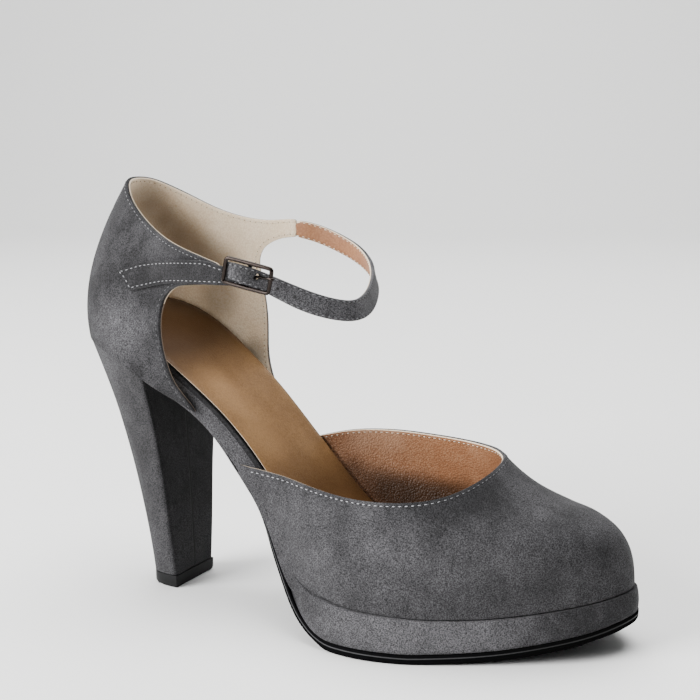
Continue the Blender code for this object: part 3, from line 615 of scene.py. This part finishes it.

# each piece has its own copy of the one suede, with its own dim, level and zones: the differences between
# the copies are painted light and shade, and the heel breast, the buckle strip and the dark edge suede are
# painted shade
suedeVamp = suedeFinish("suedeVamp", dim=0.60, zones=vampZones)
suedePlatform = suedeFinish("suedePlatform", dim=0.80, zones=platformZones)
suedeCounter = suedeFinish("suedeCounter", dim=0.64, level=-0.19, zones=counterZones)
suedeHeel = suedeFinish("suedeHeel", dim=0.43, zones=heelZones)
suedeBreast = suedeFinish("suedeBreast", dim=0.24, zones=breastZones)
suedeWrap = suedeFinish("suedeWrap", dim=0.66)
suedeStrip = suedeFinish("suedeStrip", dim=0.28)
suedeStrap = suedeFinish("suedeStrap", dim=0.95, zones=strapZones)
suedeShade = suedeFinish("suedeShade", dim=0.20)
vampLining = grainLeather("vampLining", (0.25, 0.107, 0.049), (0.40, 0.213, 0.118),
                          pebble=0.8, rough=0.45, depth=0.35, zones=vampLiningZones)
bandLining = grainLeather("bandLining", (0.22, 0.09, 0.038), (0.33, 0.155, 0.072),
                          pebble=0.9, rough=0.6, depth=0.2)
counterLining = grainLeather("counterLining", (0.74, 0.58, 0.40), (0.93, 0.80, 0.62),
                             pebble=0.7, rough=0.85, depth=0.2, zones=counterLiningZones)
sockLeather = grainLeather("sockLeather", (0.17, 0.09, 0.036), (0.28, 0.16, 0.07),
                           pebble=0.8, rough=0.36, depth=0.08, zones=sockZones, shine=0.14)
rawEdge = grainLeather("rawEdge", (0.55, 0.43, 0.31), (0.72, 0.62, 0.48),
                       pebble=0.6, rough=0.8, depth=0.15)
dullEdge = grainLeather("dullEdge", (0.13, 0.095, 0.07), (0.20, 0.15, 0.115),
                        pebble=0.6, rough=0.8, depth=0.15)
paleThread = threadFinish("paleThread", (0.44, 0.44, 0.46), throatFront)
strapThread = threadFinish("strapThread", (0.32, 0.32, 0.335))
faintThread = threadFinish("faintThread", (0.17, 0.17, 0.178))
greyThread = threadFinish("greyThread", (0.095, 0.095, 0.10))
creamThread = threadFinish("creamThread", (0.80, 0.70, 0.56))
# the pinholes are dark beads standing in for needle holes: painted shade
tanHole = threadFinish("tanHole", (0.26, 0.16, 0.09))
pinhole = threadFinish("pinhole", (0.008, 0.0075, 0.008))
seamDark = threadFinish("seamDark", (0.0012, 0.0012, 0.0012))
# the sole's rubber in two tones: the ridge's rubber is lighter and glossier, painted light, and rubberShade
# is near black with no reflection, painted shade
rubber = rubberFinish("rubber", (0.018, 0.018, 0.019), (0.050, 0.050, 0.052), shine=0.22)
rubberShade = rubberFinish("rubberShade", (0.002, 0.002, 0.0022), (0.005, 0.005, 0.0055), shine=0.0)
rubberTip = rubberFinish("rubberTip", (0.005, 0.005, 0.0052), (0.012, 0.012, 0.0125), shine=0.1)
gunmetal = gunmetalFinish("gunmetal")
print("finishes made")


# the sole's edge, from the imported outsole: fuller and taller at the waist, lower under the toe

waist = {"ahead": 1.2, "shank": (6.0, 16.0, 38.0, 46.0), "back": 2.2, "full": (46.0, 56.0, 70.0, 88.0),
         "out": 0.4, "rand": 3.2, "randReach": (46.0, 56.0, 62.0, 80.0),
         "toe": 1.5, "toeReach": (104.0, 146.0, 165.0, 195.0), "edgeReach": (0.0, 130.0)}


def ease(value, first, last):                      # 0 to 1 with soft ends
    t = min(max((value - first) / (last - first), 0.0), 1.0)
    return t * t * (3.0 - 2.0 * t)


def hump(x, reach):                                # rises to 1 and falls again, between four marks
    return ease(x, reach[0], reach[1]) * (1.0 - ease(x, reach[2], reach[3]))


def fuller(at):                                    # a point of the sole as the waist carries it
    fore = waist["ahead"] * hump(at.x, waist["shank"]) - waist["back"] * hump(at.x, waist["full"])
    wide = waist["out"] * hump(at.x, waist["full"])
    return Vector((at.x + fore, at.y + math.copysign(wide, at.y), at.z))


def toeDrop(x):                                    # the sole comes lower under the toe
    return waist["toe"] * hump(x, waist["toeReach"])


def soleStations():                                # x, foot, top and half width of the edge, on each side
    found = {}
    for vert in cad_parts["outsole"].data.vertices:
        at = placeOf(vert.co)
        found.setdefault((round(at.x, 2), round(at.y, 2)), set()).add(round(at.z, 3))
    stations = {-1: [], 1: []}
    rear, front = waist["edgeReach"]
    for (x, y), heights in found.items():
        if len(heights) > 1 and rear < x < front:
            at = fuller(Vector((x, y, 0.0)))
            top = max(heights) + waist["rand"] * hump(x, waist["randReach"])
            stations[1 if y > 0.0 else -1].append((at.x, min(heights), top, abs(at.y)))
    return {side: sorted(rows) for side, rows in stations.items()}


soleEdge = soleStations()


def edgeAt(x, side):                               # foot, top and half width of the sole at x
    rows = soleEdge[side]
    for first, second in zip(rows[:-1], rows[1:]):
        if x <= second[0]:
            t = (x - first[0]) / (second[0] - first[0])
            return [a + (b - a) * t for a, b in zip(first[1:], second[1:])]
    return rows[-1][1:]


# vamp

vamp = {"rimRound": 0.3, "bare": 0.3, "wall": 1.7, "toplineAbove": 53.3,
        "stitchOut": 1.3, "stitchIn": 1.05, "stitchShort": 7,
        "lapFull": 66.0, "lapEnd": 77.0, "lapLow": 0.1, "lapOut": 0.3, "lapTuck": 1.3,
        "lapUnder": (60.0, 69.0), "soleShows": (44.0, 52.0), "seamDrop": 3.3, "seamLow": (72.0, 112.0),
        "tailBack": 2.2, "tailFoot": 0.4, "tailHeight": 3.6, "tailEase": 0.65,
        "tailRing": 0.9, "nextRing": 3.2, "footTilt": -0.3, "toplineTilt": 0.35}   # tilts are of normals
# middle, run, half length, half width, depth
creases = (((150.0, 6.0, 50.0), (0.2, 1.0, -0.1), 16.0, 3.2, -0.45),
           ((157.0, 6.0, 47.0), (0.2, 1.0, -0.1), 17.0, 4.0, 0.35),
           ((112.0, -33.0, 44.0), (0.9, 0.35, 0.2), 16.0, 7.0, -0.35),
           ((92.0, -38.0, 36.0), (0.5, 0.2, 0.8), 14.0, 6.0, 0.3))


def seamDrop(x):                                   # the platform's seam dips towards the waist
    return vamp["seamDrop"] * (1.0 - ease(x, *vamp["seamLow"]))


def drawTail(piece, wall):                         # the rear end narrows to a tail on the sole's edge
    moved = set()
    for side in (-1, 1):
        near = [v for v in piece.data.vertices if (v.co.y - heelBreast.y) * side > 0.0]
        rear = min(v.co.x for v in near)
        ringEnd = rear + vamp["tailRing"] * mm
        nextEnd = rear + vamp["nextRing"] * mm
        column = [v for v in near if v.co.x < ringEnd]
        second = [v for v in near if ringEnd <= v.co.x < nextEnd]
        x = (rear - heelBreast.x) / mm - vamp["tailBack"]
        foot, _, edge = edgeAt(x, side)
        for group in (column, second):
            low = min(v.co.z for v in group)
            high = max(v.co.z for v in group)
            for v in group:
                t = (v.co.z - low) / (high - low)
                if group is second:
                    v.co.z -= vamp["tailEase"] * t * mm
                    continue
                inward = 0.0 if v.index in wall.outsideVerts else vamp["wall"]
                v.co = onShoe(x, side * (edge + vamp["lapOut"] - inward),
                              foot + vamp["tailFoot"] + vamp["tailHeight"] * t)
                moved.add(v.index)
    return moved


def lapWaist(piece, wall):                         # at the waist the suede comes down over the sole's edge
    rim = set(wall.rim)
    foot = vertsOf(piece, lambda face: face.index in rim and face.normal.z < vamp["footTilt"])
    for v in foot - drawTail(piece, wall):
        vert = piece.data.vertices[v]
        at = placeOf(vert.co)
        side = -1 if at.y < 0.0 else 1
        share = 1.0 - ease(at.x, vamp["lapFull"], vamp["lapEnd"])
        vert.co.z -= seamDrop(at.x) * mm
        if share > 0.0:
            low, top, edge = edgeAt(at.x, side)
            shows = ease(at.x, *vamp["soleShows"])
            out = vamp["lapOut"] - vamp["lapTuck"] * ease(at.x, *vamp["lapUnder"])
            out -= 0.0 if v in wall.outsideVerts else vamp["wall"]
            hem = low + vamp["lapLow"] + (top - low) * shows
            vert.co = vert.co.lerp(onShoe(at.x, side * (edge + out), hem), share)


def vampTopline(at, facing):
    return at.z > vamp["toplineAbove"] and abs(facing.z) > vamp["toplineTilt"]


def makeVamp():
    piece = copyNode("vamp", "vampShell")
    wall = Wall(piece)
    lapWaist(piece, wall)
    runs = wall.rimRuns(vampTopline)
    wall.paint([suedeVamp, vampLining, rawEdge], vamp["bare"])
    roundEdges(piece, wall.corners(), vamp["rimRound"])
    smooth(piece, 2)
    press(piece, creases)
    stitchRuns(runs, vamp["stitchOut"], skinTree(piece, 0), (paleThread, pinhole), "vampStitches",
               vamp["stitchShort"])
    stitchRuns(runs, vamp["stitchIn"], skinTree(piece, 1), (creamThread, tanHole), "vampLiningStitches")
    finishPiece(piece, "vamp")
    print("vamp", len(piece.data.polygons), "faces,", len(runs), "topline runs")


makeVamp()


# counter

counter = {"rimRound": 0.3, "bare": 0.3, "stitchOut": 1.1, "stitchIn": 1.2, "toplineAbove": 126.0,
           "seatBelow": 110.0, "outerTabEnd": 36.6, "innerTabEnd": 27.0, "dullBelow": 118.0,
           "tipBelow": 88.0, "tipReach": 11.0, "tipFrom": (-2.0, 12.0), "tipMove": (4.0, 3.5, -1.8),
           "seatTilt": -0.45}


def tabEnd(at):                                    # the short ends that the strip and the strap cover
    return at.x > (counter["outerTabEnd"] if at.y < 0.0 else counter["innerTabEnd"])


def counterRim(at, facing):                        # topline and front edges
    onSeat = facing.z < counter["seatTilt"] and at.z < counter["seatBelow"]
    return not onSeat and not tabEnd(at)


def drawTips(piece):                               # the lower front corners reach forward along the shank
    for vert in piece.data.vertices:
        at = placeOf(vert.co)
        share = ease(counter["tipBelow"] - at.z, 0.0, counter["tipReach"]) * ease(at.x, *counter["tipFrom"])
        ahead, inward, up = counter["tipMove"]
        vert.co += Vector((ahead, -math.copysign(inward, at.y), up)) * share * mm


def makeCounter():
    piece = copyNode("quarter", "counterShell")
    wall = Wall(piece)
    drawTips(piece)
    runs = wall.rimRuns(counterRim)
    wall.paint([suedeCounter, counterLining, rawEdge, dullEdge], counter["bare"])
    for face in piece.data.polygons:               # the rim below this height takes the darker edge colour
        if face.material_index == 2 and face.center.z < counter["dullBelow"] * mm:
            face.material_index = 3
    roundEdges(piece, wall.corners(tabEnd), counter["rimRound"])
    smooth(piece, 2)
    outer = skinTree(piece, 0)
    topline = []
    fronts = []
    for run in runs:
        height = sum(point.z for point, facing in run) / len(run)
        if height > counter["toplineAbove"] * mm:
            topline.append(run)
        else:
            fronts.append(run)
    stitchRuns(topline, counter["stitchOut"], outer, (faintThread, pinhole), "toplineStitches")
    stitchRuns(fronts, counter["stitchOut"], outer, (greyThread, pinhole), "counterStitches")
    inner = skinTree(piece, 1)
    stitchRuns(runs, counter["stitchIn"], inner, (creamThread, tanHole), "counterLiningStitches")
    finishPiece(piece, "quarter")
    print("counter", len(piece.data.polygons), "faces,", len(runs), "rim runs")


makeCounter()


# buckle strip sewn on the counter

strip = {"rimRound": 0.35, "stitchInset": 1.1, "sewnTo": 51.0, "outerTilt": -0.4}


def outerTree(piece):                              # the surface that faces away from the foot
    mesh = piece.data
    faces = [f.vertices[:] for f in mesh.polygons if f.normal.y < strip["outerTilt"]]
    return BVHTree.FromPolygons([v.co for v in mesh.vertices], faces)


def makeStrip():
    piece = copyNode("buckle_strap", "buckleStrip")
    wall = Wall(piece)
    faces = piece.data.polygons
    if sum(faces[i].normal.y * faces[i].area for i in wall.outside) > 0.0:      # it faces the foot
        wall.turnOver()
    runs = wall.rimRuns(lambda at, facing: at.x < strip["sewnTo"])
    giveLooks(piece, suedeStrip)
    roundEdges(piece, sharpEdges(piece, shell["wallCorner"]), strip["rimRound"])
    smooth(piece, 2)
    stitchRuns(runs, strip["stitchInset"], outerTree(piece), (strapThread, pinhole), "stripStitches")
    finishPiece(piece, "buckle_strap")
    print("strip", len(piece.data.polygons), "faces,", len(runs), "rim runs")


makeStrip()


# ankle band

band = {"ankle": (45.0, 2.0), "fold": 25.0, "stitchInset": 0.7,
        "hole": (55.5, -38.6, 131.0), "holeClear": 3.2, "holeWide": 3.0, "punch": 0.55, "punchFlat": 0.3,
        "punchSides": 14, "punchRings": 8, "edgeTilt": 0.3, "rawTilt": -0.45,
        "punches": ((53.0, -39.5, 132.3), (61.9, -35.5, 127.2), (67.2, -33.0, 124.4)),
        "seam": (27.0, 37.15), "seamFacing": (-0.41, 0.91), "seamThin": 0.9, "seamLean": 0.28,
        "seamRun": (0.87, 0.42, -0.25), "seamRing": 1.1, "farSide": 30.0}


def sewSeam(piece):                                # the inner end is let into the counter's tab
    facing = Vector((*band["seamFacing"], 0.0)).normalized()
    far = [v for v in piece.data.vertices if v.co.y > band["farSide"] * mm]
    start = min(far, key=lambda v: v.co.x - band["seamLean"] * v.co.z).co
    ring = [v for v in far if (v.co - start).dot(Vector(band["seamRun"])) < band["seamRing"] * mm]
    middle = sum((v.co for v in ring), Vector()) / len(ring)
    for v in ring:
        through = (v.co - middle).dot(facing) * band["seamThin"]
        seat = onShoe(*band["seam"], 0.0) + facing * through
        v.co = Vector((seat.x, seat.y, v.co.z))
    return len(ring)


def makePunches(tree):                             # small punched holes along the strap's end, each a dark flattened bead: painted shade
    deselectAll()
    made = []
    for spot in band["punches"]:
        place, normal, _, _ = tree.find_nearest(onShoe(*spot))
        turn = normal.to_track_quat('Z', 'Y').to_euler()
        flat = (1.0, 1.0, band["punchFlat"])
        bpy.ops.mesh.primitive_uv_sphere_add(segments=band["punchSides"], ring_count=band["punchRings"],
                                             radius=band["punch"] * mm, location=place, rotation=turn,
                                             scale=flat)
        bpy.ops.object.transform_apply(location=True, rotation=True, scale=True)
        bpy.ops.object.shade_smooth()
        made.append(bpy.context.object)
    piece = joinUp(made, "strapPunches")
    giveLooks(piece, pinhole)
    finishPiece(piece, None)


def clearOfHole(at, facing):                       # the strap's long edges, not the rim of its hole
    hole = Vector(band["hole"])
    return abs(facing.z) > band["edgeTilt"] and (at - hole).length > band["holeClear"]


def makeBand():
    piece = copyNode("ankle_strap", "ankleBand")
    mesh = piece.data
    ankle = onShoe(*band["ankle"], 0.0)
    wall = Wall(piece, band["fold"])
    turn = sum(mesh.polygons[i].normal.dot(mesh.polygons[i].center - ankle) for i in wall.outside)
    if turn < 0.0:
        wall.turnOver()
    ringSize = sewSeam(piece)
    runs = wall.rimRuns(clearOfHole)
    wall.turnOver()
    liningRuns = wall.rimRuns(clearOfHole)
    wall.turnOver()
    giveLooks(piece, suedeStrap, bandLining, rawEdge, pinhole)
    hole = onShoe(*band["hole"])
    rimKeys = set()
    for face in mesh.polygons:
        outward = Vector((face.center.x - ankle.x, face.center.y - ankle.y, 0.0)).normalized()
        if face.index in wall.lining:
            face.material_index = 1
        elif face.index not in wall.outside:
            rimKeys.update(face.edge_keys)
            # painted shade: the rim inside the prong's hole takes the near-black pinhole colour
            if (face.center - hole).length < band["holeWide"] * mm:
                face.material_index = 3
            elif face.normal.dot(outward) < band["rawTilt"]:
                face.material_index = 2
    liningKeys = {key for i in wall.lining for key in mesh.polygons[i].edge_keys}
    creaseEdges(piece, [edge.index for edge in mesh.edges if edge.key in rimKeys & liningKeys])
    smooth(piece, 2)
    outer = skinTree(piece, 0)
    stitchRuns(runs, band["stitchInset"], outer, (faintThread, pinhole), "bandStitches")
    inner = skinTree(piece, 1)
    stitchRuns(liningRuns, band["stitchInset"], inner, (creamThread, tanHole), "bandLiningStitches")
    makePunches(outer)
    finishPiece(piece, "ankle_strap")
    print("band", len(mesh.polygons), "faces,", len(runs) + len(liningRuns), "rim runs, seam ring", ringSize)


makeBand()


# buckle

buckle = {"stouter": 0.22}


def makeBuckle():
    for node, name in (("buckle_frame", "buckleBars"), ("buckle_prong", "bucklePin")):
        piece = copyNode(node, name)
        giveLooks(piece, gunmetal)
        smooth(piece, 1)
        if node == "buckle_frame":
            stout = piece.modifiers.new("stout", 'DISPLACE')
            stout.strength = buckle["stouter"] * mm
            stout.mid_level = 0.0
            bpy.ops.object.modifier_apply(modifier="stout")
        finishPiece(piece, node)
    print("buckle done")


makeBuckle()


# sole: sock, wrapped shank, platform, rubber

sole = {"sockRound": 0.22, "sockTilt": 0.3, "wrapTilt": 0.5, "coverTilt": 0.4,
        "wrapRound": 1.6, "wrapHem": 0.25, "wrapFoot": 0.15, "wrapOut": 0.1,
        "wrapReach": (0.0, 46.0), "wrapBeside": 18.0,
        "coverRound": 0.5, "coverCorner": 60.0, "coverTuck": 1.7, "coverOut": (60.0, 77.0),
        "ridge": 0.06, "ridgeFrom": 0.44, "ridgeTo": 0.68,
        "rubberRound": 0.12, "sideTall": 0.8, "sideLean": 0.02}


def makeSock():
    piece = copyNode("insole", "sockLayer")
    mesh = piece.data
    giveLooks(piece, sockLeather, rawEdge, suedeShade)
    # painted shade: the sock's cut edge takes the dark suede
    for face in mesh.polygons:
        face.material_index = 0 if face.normal.z > sole["sockTilt"] else 2
    creaseEdges(piece, sharpWithin(piece, vertsOf(piece, lambda face: face.material_index == 0)))
    smooth(piece, 2)
    roundEdges(piece, sharpEdges(piece), sole["sockRound"], look=1)    # a thin pale line along the cut edge
    for face in mesh.polygons:                     # on the inner side the pale line is covered by the dark suede, painted shade
        if face.material_index == 1 and face.center.y > heelBreast.y:
            face.material_index = 2
    finishPiece(piece, "insole")


def makeWrap():
    piece = copyNode("insole_board", "shankWrap")
    mesh = piece.data
    giveLooks(piece, suedeWrap, suedeShade)
    under = vertsOf(piece, lambda face: face.normal.z < -sole["wrapTilt"])
    rear, front = sole["wrapReach"]
    for vert in mesh.vertices:                     # the wrap is drawn down over the edge of the sole
        at = placeOf(vert.co)
        if vert.index in under and abs(at.y) > sole["wrapBeside"] and rear < at.x < front:
            foot, _, edge = edgeAt(at.x, -1 if at.y < 0.0 else 1)
            vert.co = onShoe(at.x, math.copysign(edge + sole["wrapOut"], at.y), foot + sole["wrapFoot"])
    creaseEdges(piece, sharpWithin(piece, under))
    over = vertsOf(piece, lambda face: face.normal.z > sole["wrapTilt"])
    roundEdges(piece, sharpWithin(piece, over), sole["wrapRound"], steps=3, look=1)    # painted shade under the sock's edge: the rounded top takes the dark suede
    smooth(piece, 2)
    roundEdges(piece, sharpEdges(piece), sole["wrapHem"])
    finishPiece(piece, "insole_board")


def makeCover():
    piece = copyNode("platform", "platformCover")
    mesh = piece.data
    giveLooks(piece, suedePlatform)
    over = vertsOf(piece, lambda face: face.normal.z > sole["coverTilt"])
    for vert in mesh.vertices:                     # at the waist it comes out from under the vamp
        at = fuller(placeOf(vert.co))
        at.y -= math.copysign(sole["coverTuck"] * (1.0 - ease(at.x, *sole["coverOut"])), at.y)
        at.z -= seamDrop(at.x) if vert.index in over else toeDrop(at.x)
        vert.co = onShoe(*at)
    rim = sharpWithin(piece, over, sole["coverCorner"])
    creaseEdges(piece, [i for i in sharpEdges(piece, sole["coverCorner"]) if i not in rim])
    roundEdges(piece, rim, sole["coverRound"])
    smooth(piece, 2)
    finishPiece(piece, "platform")


def makeRubber():
    piece = copyNode("outsole", "rubberSole")
    mesh = piece.data
    giveLooks(piece, rubberShade, rubber)
    creaseEdges(piece, sharpEdges(piece))
    upright = []
    for edge in mesh.edges:                        # the straight upright edges of the side
        a, b = (mesh.vertices[v].co for v in edge.vertices)
        run = b - a
        if abs(run.z) > sole["sideTall"] * mm and run.xy.length < sole["sideLean"] * mm:
            upright.append(edge.index)
    spans = []
    for index in upright:                          # it stands taller at the waist
        lower, upper = sorted((mesh.vertices[v] for v in mesh.edges[index].vertices), key=lambda v: v.co.z)
        upper.co.z += waist["rand"] * hump((upper.co.x - heelBreast.x) / mm, waist["randReach"]) * mm
        spans.append((lower.co.copy(), upper.co.copy()))
    before = len(mesh.vertices)
    editWith(piece, 'EDGE', upright)
    bpy.ops.mesh.subdivide(number_cuts=2)
    leaveEdit()
    for vert in mesh.vertices[before:]:            # more of the side lies below the ridge than above it
        low, high = min(spans, key=lambda span: (span[0].xy - vert.co.xy).length)
        upperCut = vert.co.z > 0.5 * (low.z + high.z)
        vert.co = low.lerp(high, sole["ridgeTo"] if upperCut else sole["ridgeFrom"])
    # painted light on the ridge: its faces take the lighter rubber, and the thirds above and below keep the
    # near-black rubber, painted shade
    middle = [f.index for f in mesh.polygons if all(v >= before for v in f.vertices)]
    for index in middle:
        mesh.polygons[index].material_index = 1
    editWith(piece, 'FACE', middle)                # the strip between the cuts is a ridge
    bpy.ops.mesh.extrude_region_shrink_fatten(TRANSFORM_OT_shrink_fatten={"value": sole["ridge"] * mm})
    leaveEdit()
    for vert in mesh.vertices:
        at = fuller(placeOf(vert.co))
        vert.co = onShoe(at.x, at.y, at.z - toeDrop(at.x))
    smooth(piece, 1)
    roundEdges(piece, sharpEdges(piece), sole["rubberRound"])
    finishPiece(piece, "outsole")
    print("rubber", len(upright), "upright edges,", len(middle), "ridge faces")


makeSock()
makeWrap()
makeCover()
makeRubber()
print("sole done")


# heel

heel = {"cornerRound": 2.0, "cornerSteps": 4, "cornerTall": 4.0, "rimRound": 0.4, "tipRound": 0.3,
        "seam": 1.0, "seamSteps": 6, "seamDepth": 0.5, "seamDark": 0.583, "seamTall": 3.0, "onSeam": 0.02,
        "breastFrom": -12.0, "breastTilt": 0.6, "ahead": 0.9, "aheadFrom": (-10.0, -2.0),
        "topBack": (-37.4, 101.8), "topFront": (-4.0, 88.3),
        "flare": 2.5, "flareReach": 16.0, "flareMiddle": -18.0, "flareOutside": 12.0,
        "spread": 0.11, "spreadFade": (12.0, 48.0), "footIn": 1.1, "footReach": (8.0, 24.0),
        "backFoot": -16.5, "backLean": 0.27, "backLeanFrom": 26.0, "backSoft": (1.0, 8.0),
        "backOut": 0.7, "backReach": (14.0, 40.0, 52.0, 86.0)}


def flareTop(piece):                               # the top spreads to meet the counter all round
    (backX, backZ), (frontX, frontZ) = heel["topBack"], heel["topFront"]
    for vert in piece.data.vertices:
        at = placeOf(vert.co)
        rim = backZ + (frontZ - backZ) * (at.x - backX) / (frontX - backX)
        share = min(max(1.0 - (rim - at.z) / heel["flareReach"], 0.0), 1.0)
        away = Vector((min(at.x - heel["flareMiddle"], 0.0), at.y, 0.0))
        if share > 0.0 and away.length > heel["flareOutside"]:
            vert.co += away.normalized() * heel["flare"] * share * mm


def fillOut(piece):                                # breast further forward, foot wider, back fuller
    for vert in piece.data.vertices:
        at = placeOf(vert.co)
        backLine = heel["backFoot"] - heel["backLean"] * max(at.z - heel["backLeanFrom"], 0.0)
        back = 1.0 - ease(at.x - backLine, *heel["backSoft"])
        bulge = heel["backOut"] * hump(at.z, heel["backReach"])
        bulge -= heel["footIn"] * (1.0 - ease(at.z, *heel["footReach"]))
        at.x += heel["ahead"] * ease(at.x, *heel["aheadFrom"]) - bulge * back
        at.y *= 1.0 + heel["spread"] * (1.0 - ease(at.z, *heel["spreadFade"]))
        vert.co = onShoe(*at)


def sewBreast(piece):                              # the cover's seam down the middle of the breast
    mesh = piece.data
    editWith(piece, 'FACE', range(len(mesh.polygons)))
    bpy.ops.mesh.bisect(plane_co=heelBreast, plane_no=(0.0, 1.0, 0.0))
    leaveEdit()
    seam = []
    for edge in mesh.edges:
        a, b = (placeOf(mesh.vertices[v].co) for v in edge.vertices)
        inLine = max(abs(a.y), abs(b.y)) < heel["onSeam"]
        if inLine and abs(a.z - b.z) > heel["seamTall"] and min(a.x, b.x) > heel["breastFrom"]:
            seam.append(edge.index)
    editWith(piece, 'EDGE', seam)
    bpy.ops.mesh.bevel(offset=heel["seam"] * mm, segments=heel["seamSteps"], affect='EDGES')
    leaveEdit()
    for vert in mesh.vertices:
        at = placeOf(vert.co)
        if abs(at.y) < heel["onSeam"] and at.x > heel["breastFrom"]:
            vert.co.x -= heel["seamDepth"] * mm
    # painted shade: the groove's faces take the near-black seam colour
    for face in mesh.polygons:
        if abs(face.center.y - heelBreast.y) < heel["seamDark"] * mm and face.normal.x > 0.0:
            face.material_index = 1
    return len(seam)


def makeHeel():
    piece = copyNode("heel", "heelCover")
    mesh = piece.data
    giveLooks(piece, suedeHeel, seamDark, suedeBreast)
    for face in mesh.polygons:                     # painted shade: the breast's faces take a much darker copy of the suede
        face.material_index = 2 if face.normal.x > heel["breastTilt"] else 0
    flareTop(piece)
    fillOut(piece)
    corners = []
    for i in sharpEdges(piece):                    # the two long corners of the breast
        a, b = (mesh.vertices[v].co for v in mesh.edges[i].vertices)
        if abs(a.z - b.z) > heel["cornerTall"] * mm:
            corners.append(i)
    roundEdges(piece, corners, heel["cornerRound"], steps=heel["cornerSteps"])
    roundEdges(piece, sharpEdges(piece), heel["rimRound"])
    seamEdges = sewBreast(piece)
    smooth(piece, 2)
    finishPiece(piece, "heel")
    print("heel", len(mesh.polygons), "faces,", seamEdges, "seam edges")


def makeTip():
    piece = copyNode("heel_tip", "heelTopPiece")
    giveLooks(piece, rubberTip)
    fillOut(piece)
    roundEdges(piece, sharpEdges(piece), heel["tipRound"])
    smooth(piece, 1)
    finishPiece(piece, "heel_tip")
    print("heel tip", len(piece.data.polygons), "faces")


makeHeel()
makeTip()


# stage, light and camera

stage = {"size": 5.0, "backHeight": 3.0, "backRound": 0.7, "backSteps": 12, "turn": 27.4,
         "tone": (0.90, 0.90, 0.89), "rough": 0.75, "blotch": 300.0, "blotchDark": 0.98}
light = {"key": (-0.80, -1.05, 0.62), "keyAim": (0.0, 0.0, 0.06), "keySize": 0.8, "keyPower": 52.0,
         "top": (-0.1, 0.5, 2.2), "topAim": (0.0, 0.5, 0.0), "topSize": 2.2, "topPower": 112.0,
         "world": (0.95, 0.97, 1.0), "worldPower": 0.15}
view = {"lens": 64.6, "sensor": 36.0, "near": 0.01, "place": (0.2140, -0.40915, 0.1804),
        "turn": (80.2, -0.197, 27.434)}


def rearEdges(mesh):                               # the floor's edges along its rear
    found = []
    for edge in mesh.edges:
        ends = [mesh.vertices[v].co for v in edge.vertices]
        if all(end.y > 0.0 and abs(end.z) < mm for end in ends):
            found.append(edge.index)
    return found


def makeStage():
    deselectAll()
    bpy.ops.mesh.primitive_plane_add(size=stage["size"], location=(0, 0, 0))
    floor = bpy.context.object
    floor.name = "floor"
    editWith(floor, 'EDGE', rearEdges(floor.data))
    bpy.ops.mesh.extrude_region_move(TRANSFORM_OT_translate={"value": (0.0, 0.0, stage["backHeight"])})
    leaveEdit()
    editWith(floor, 'EDGE', rearEdges(floor.data))
    bpy.ops.mesh.bevel(offset=stage["backRound"], segments=stage["backSteps"], affect='EDGES')
    bpy.ops.mesh.select_all(action='SELECT')
    bpy.ops.transform.rotate(value=-math.radians(stage["turn"]), orient_axis='Z',
                             center_override=(0.0, 0.0, 0.0))
    leaveEdit()
    bpy.ops.object.shade_smooth()
    look = Finish("floorPale", stage["rough"])
    blotch = look.noise(stage["blotch"])
    look.set("Base Color", look.mix(blotch, dimmed(stage["tone"], stage["blotchDark"]), stage["tone"]))
    giveLooks(floor, look.material)


def addLamp(name, place, aim, size, power):
    lamp = bpy.data.lights.new(name, 'AREA')
    lamp.energy = power
    lamp.size = size
    holder = bpy.data.objects.new(name, lamp)
    holder.location = place
    holder.rotation_euler = (Vector(aim) - holder.location).to_track_quat('-Z', 'Y').to_euler()
    bpy.context.scene.collection.objects.link(holder)


def makeLight():
    world = bpy.data.worlds.new("studio")
    world.use_nodes = True
    back = world.node_tree.nodes["Background"]
    back.inputs["Color"].default_value = (*light["world"], 1.0)
    back.inputs["Strength"].default_value = light["worldPower"]
    bpy.context.scene.world = world
    addLamp("key", light["key"], light["keyAim"], light["keySize"], light["keyPower"])
    addLamp("top", light["top"], light["topAim"], light["topSize"], light["topPower"])


def makeCamera():
    lens = bpy.data.cameras.new("view")
    lens.lens = view["lens"]
    lens.sensor_width = view["sensor"]
    lens.clip_start = view["near"]
    eye = bpy.data.objects.new("view", lens)
    eye.location = view["place"]
    eye.rotation_euler = [math.radians(a) for a in view["turn"]]
    bpy.context.scene.collection.objects.link(eye)
    bpy.context.scene.camera = eye


makeStage()
makeLight()
makeCamera()
print("stage, light and camera set")

deselectAll()
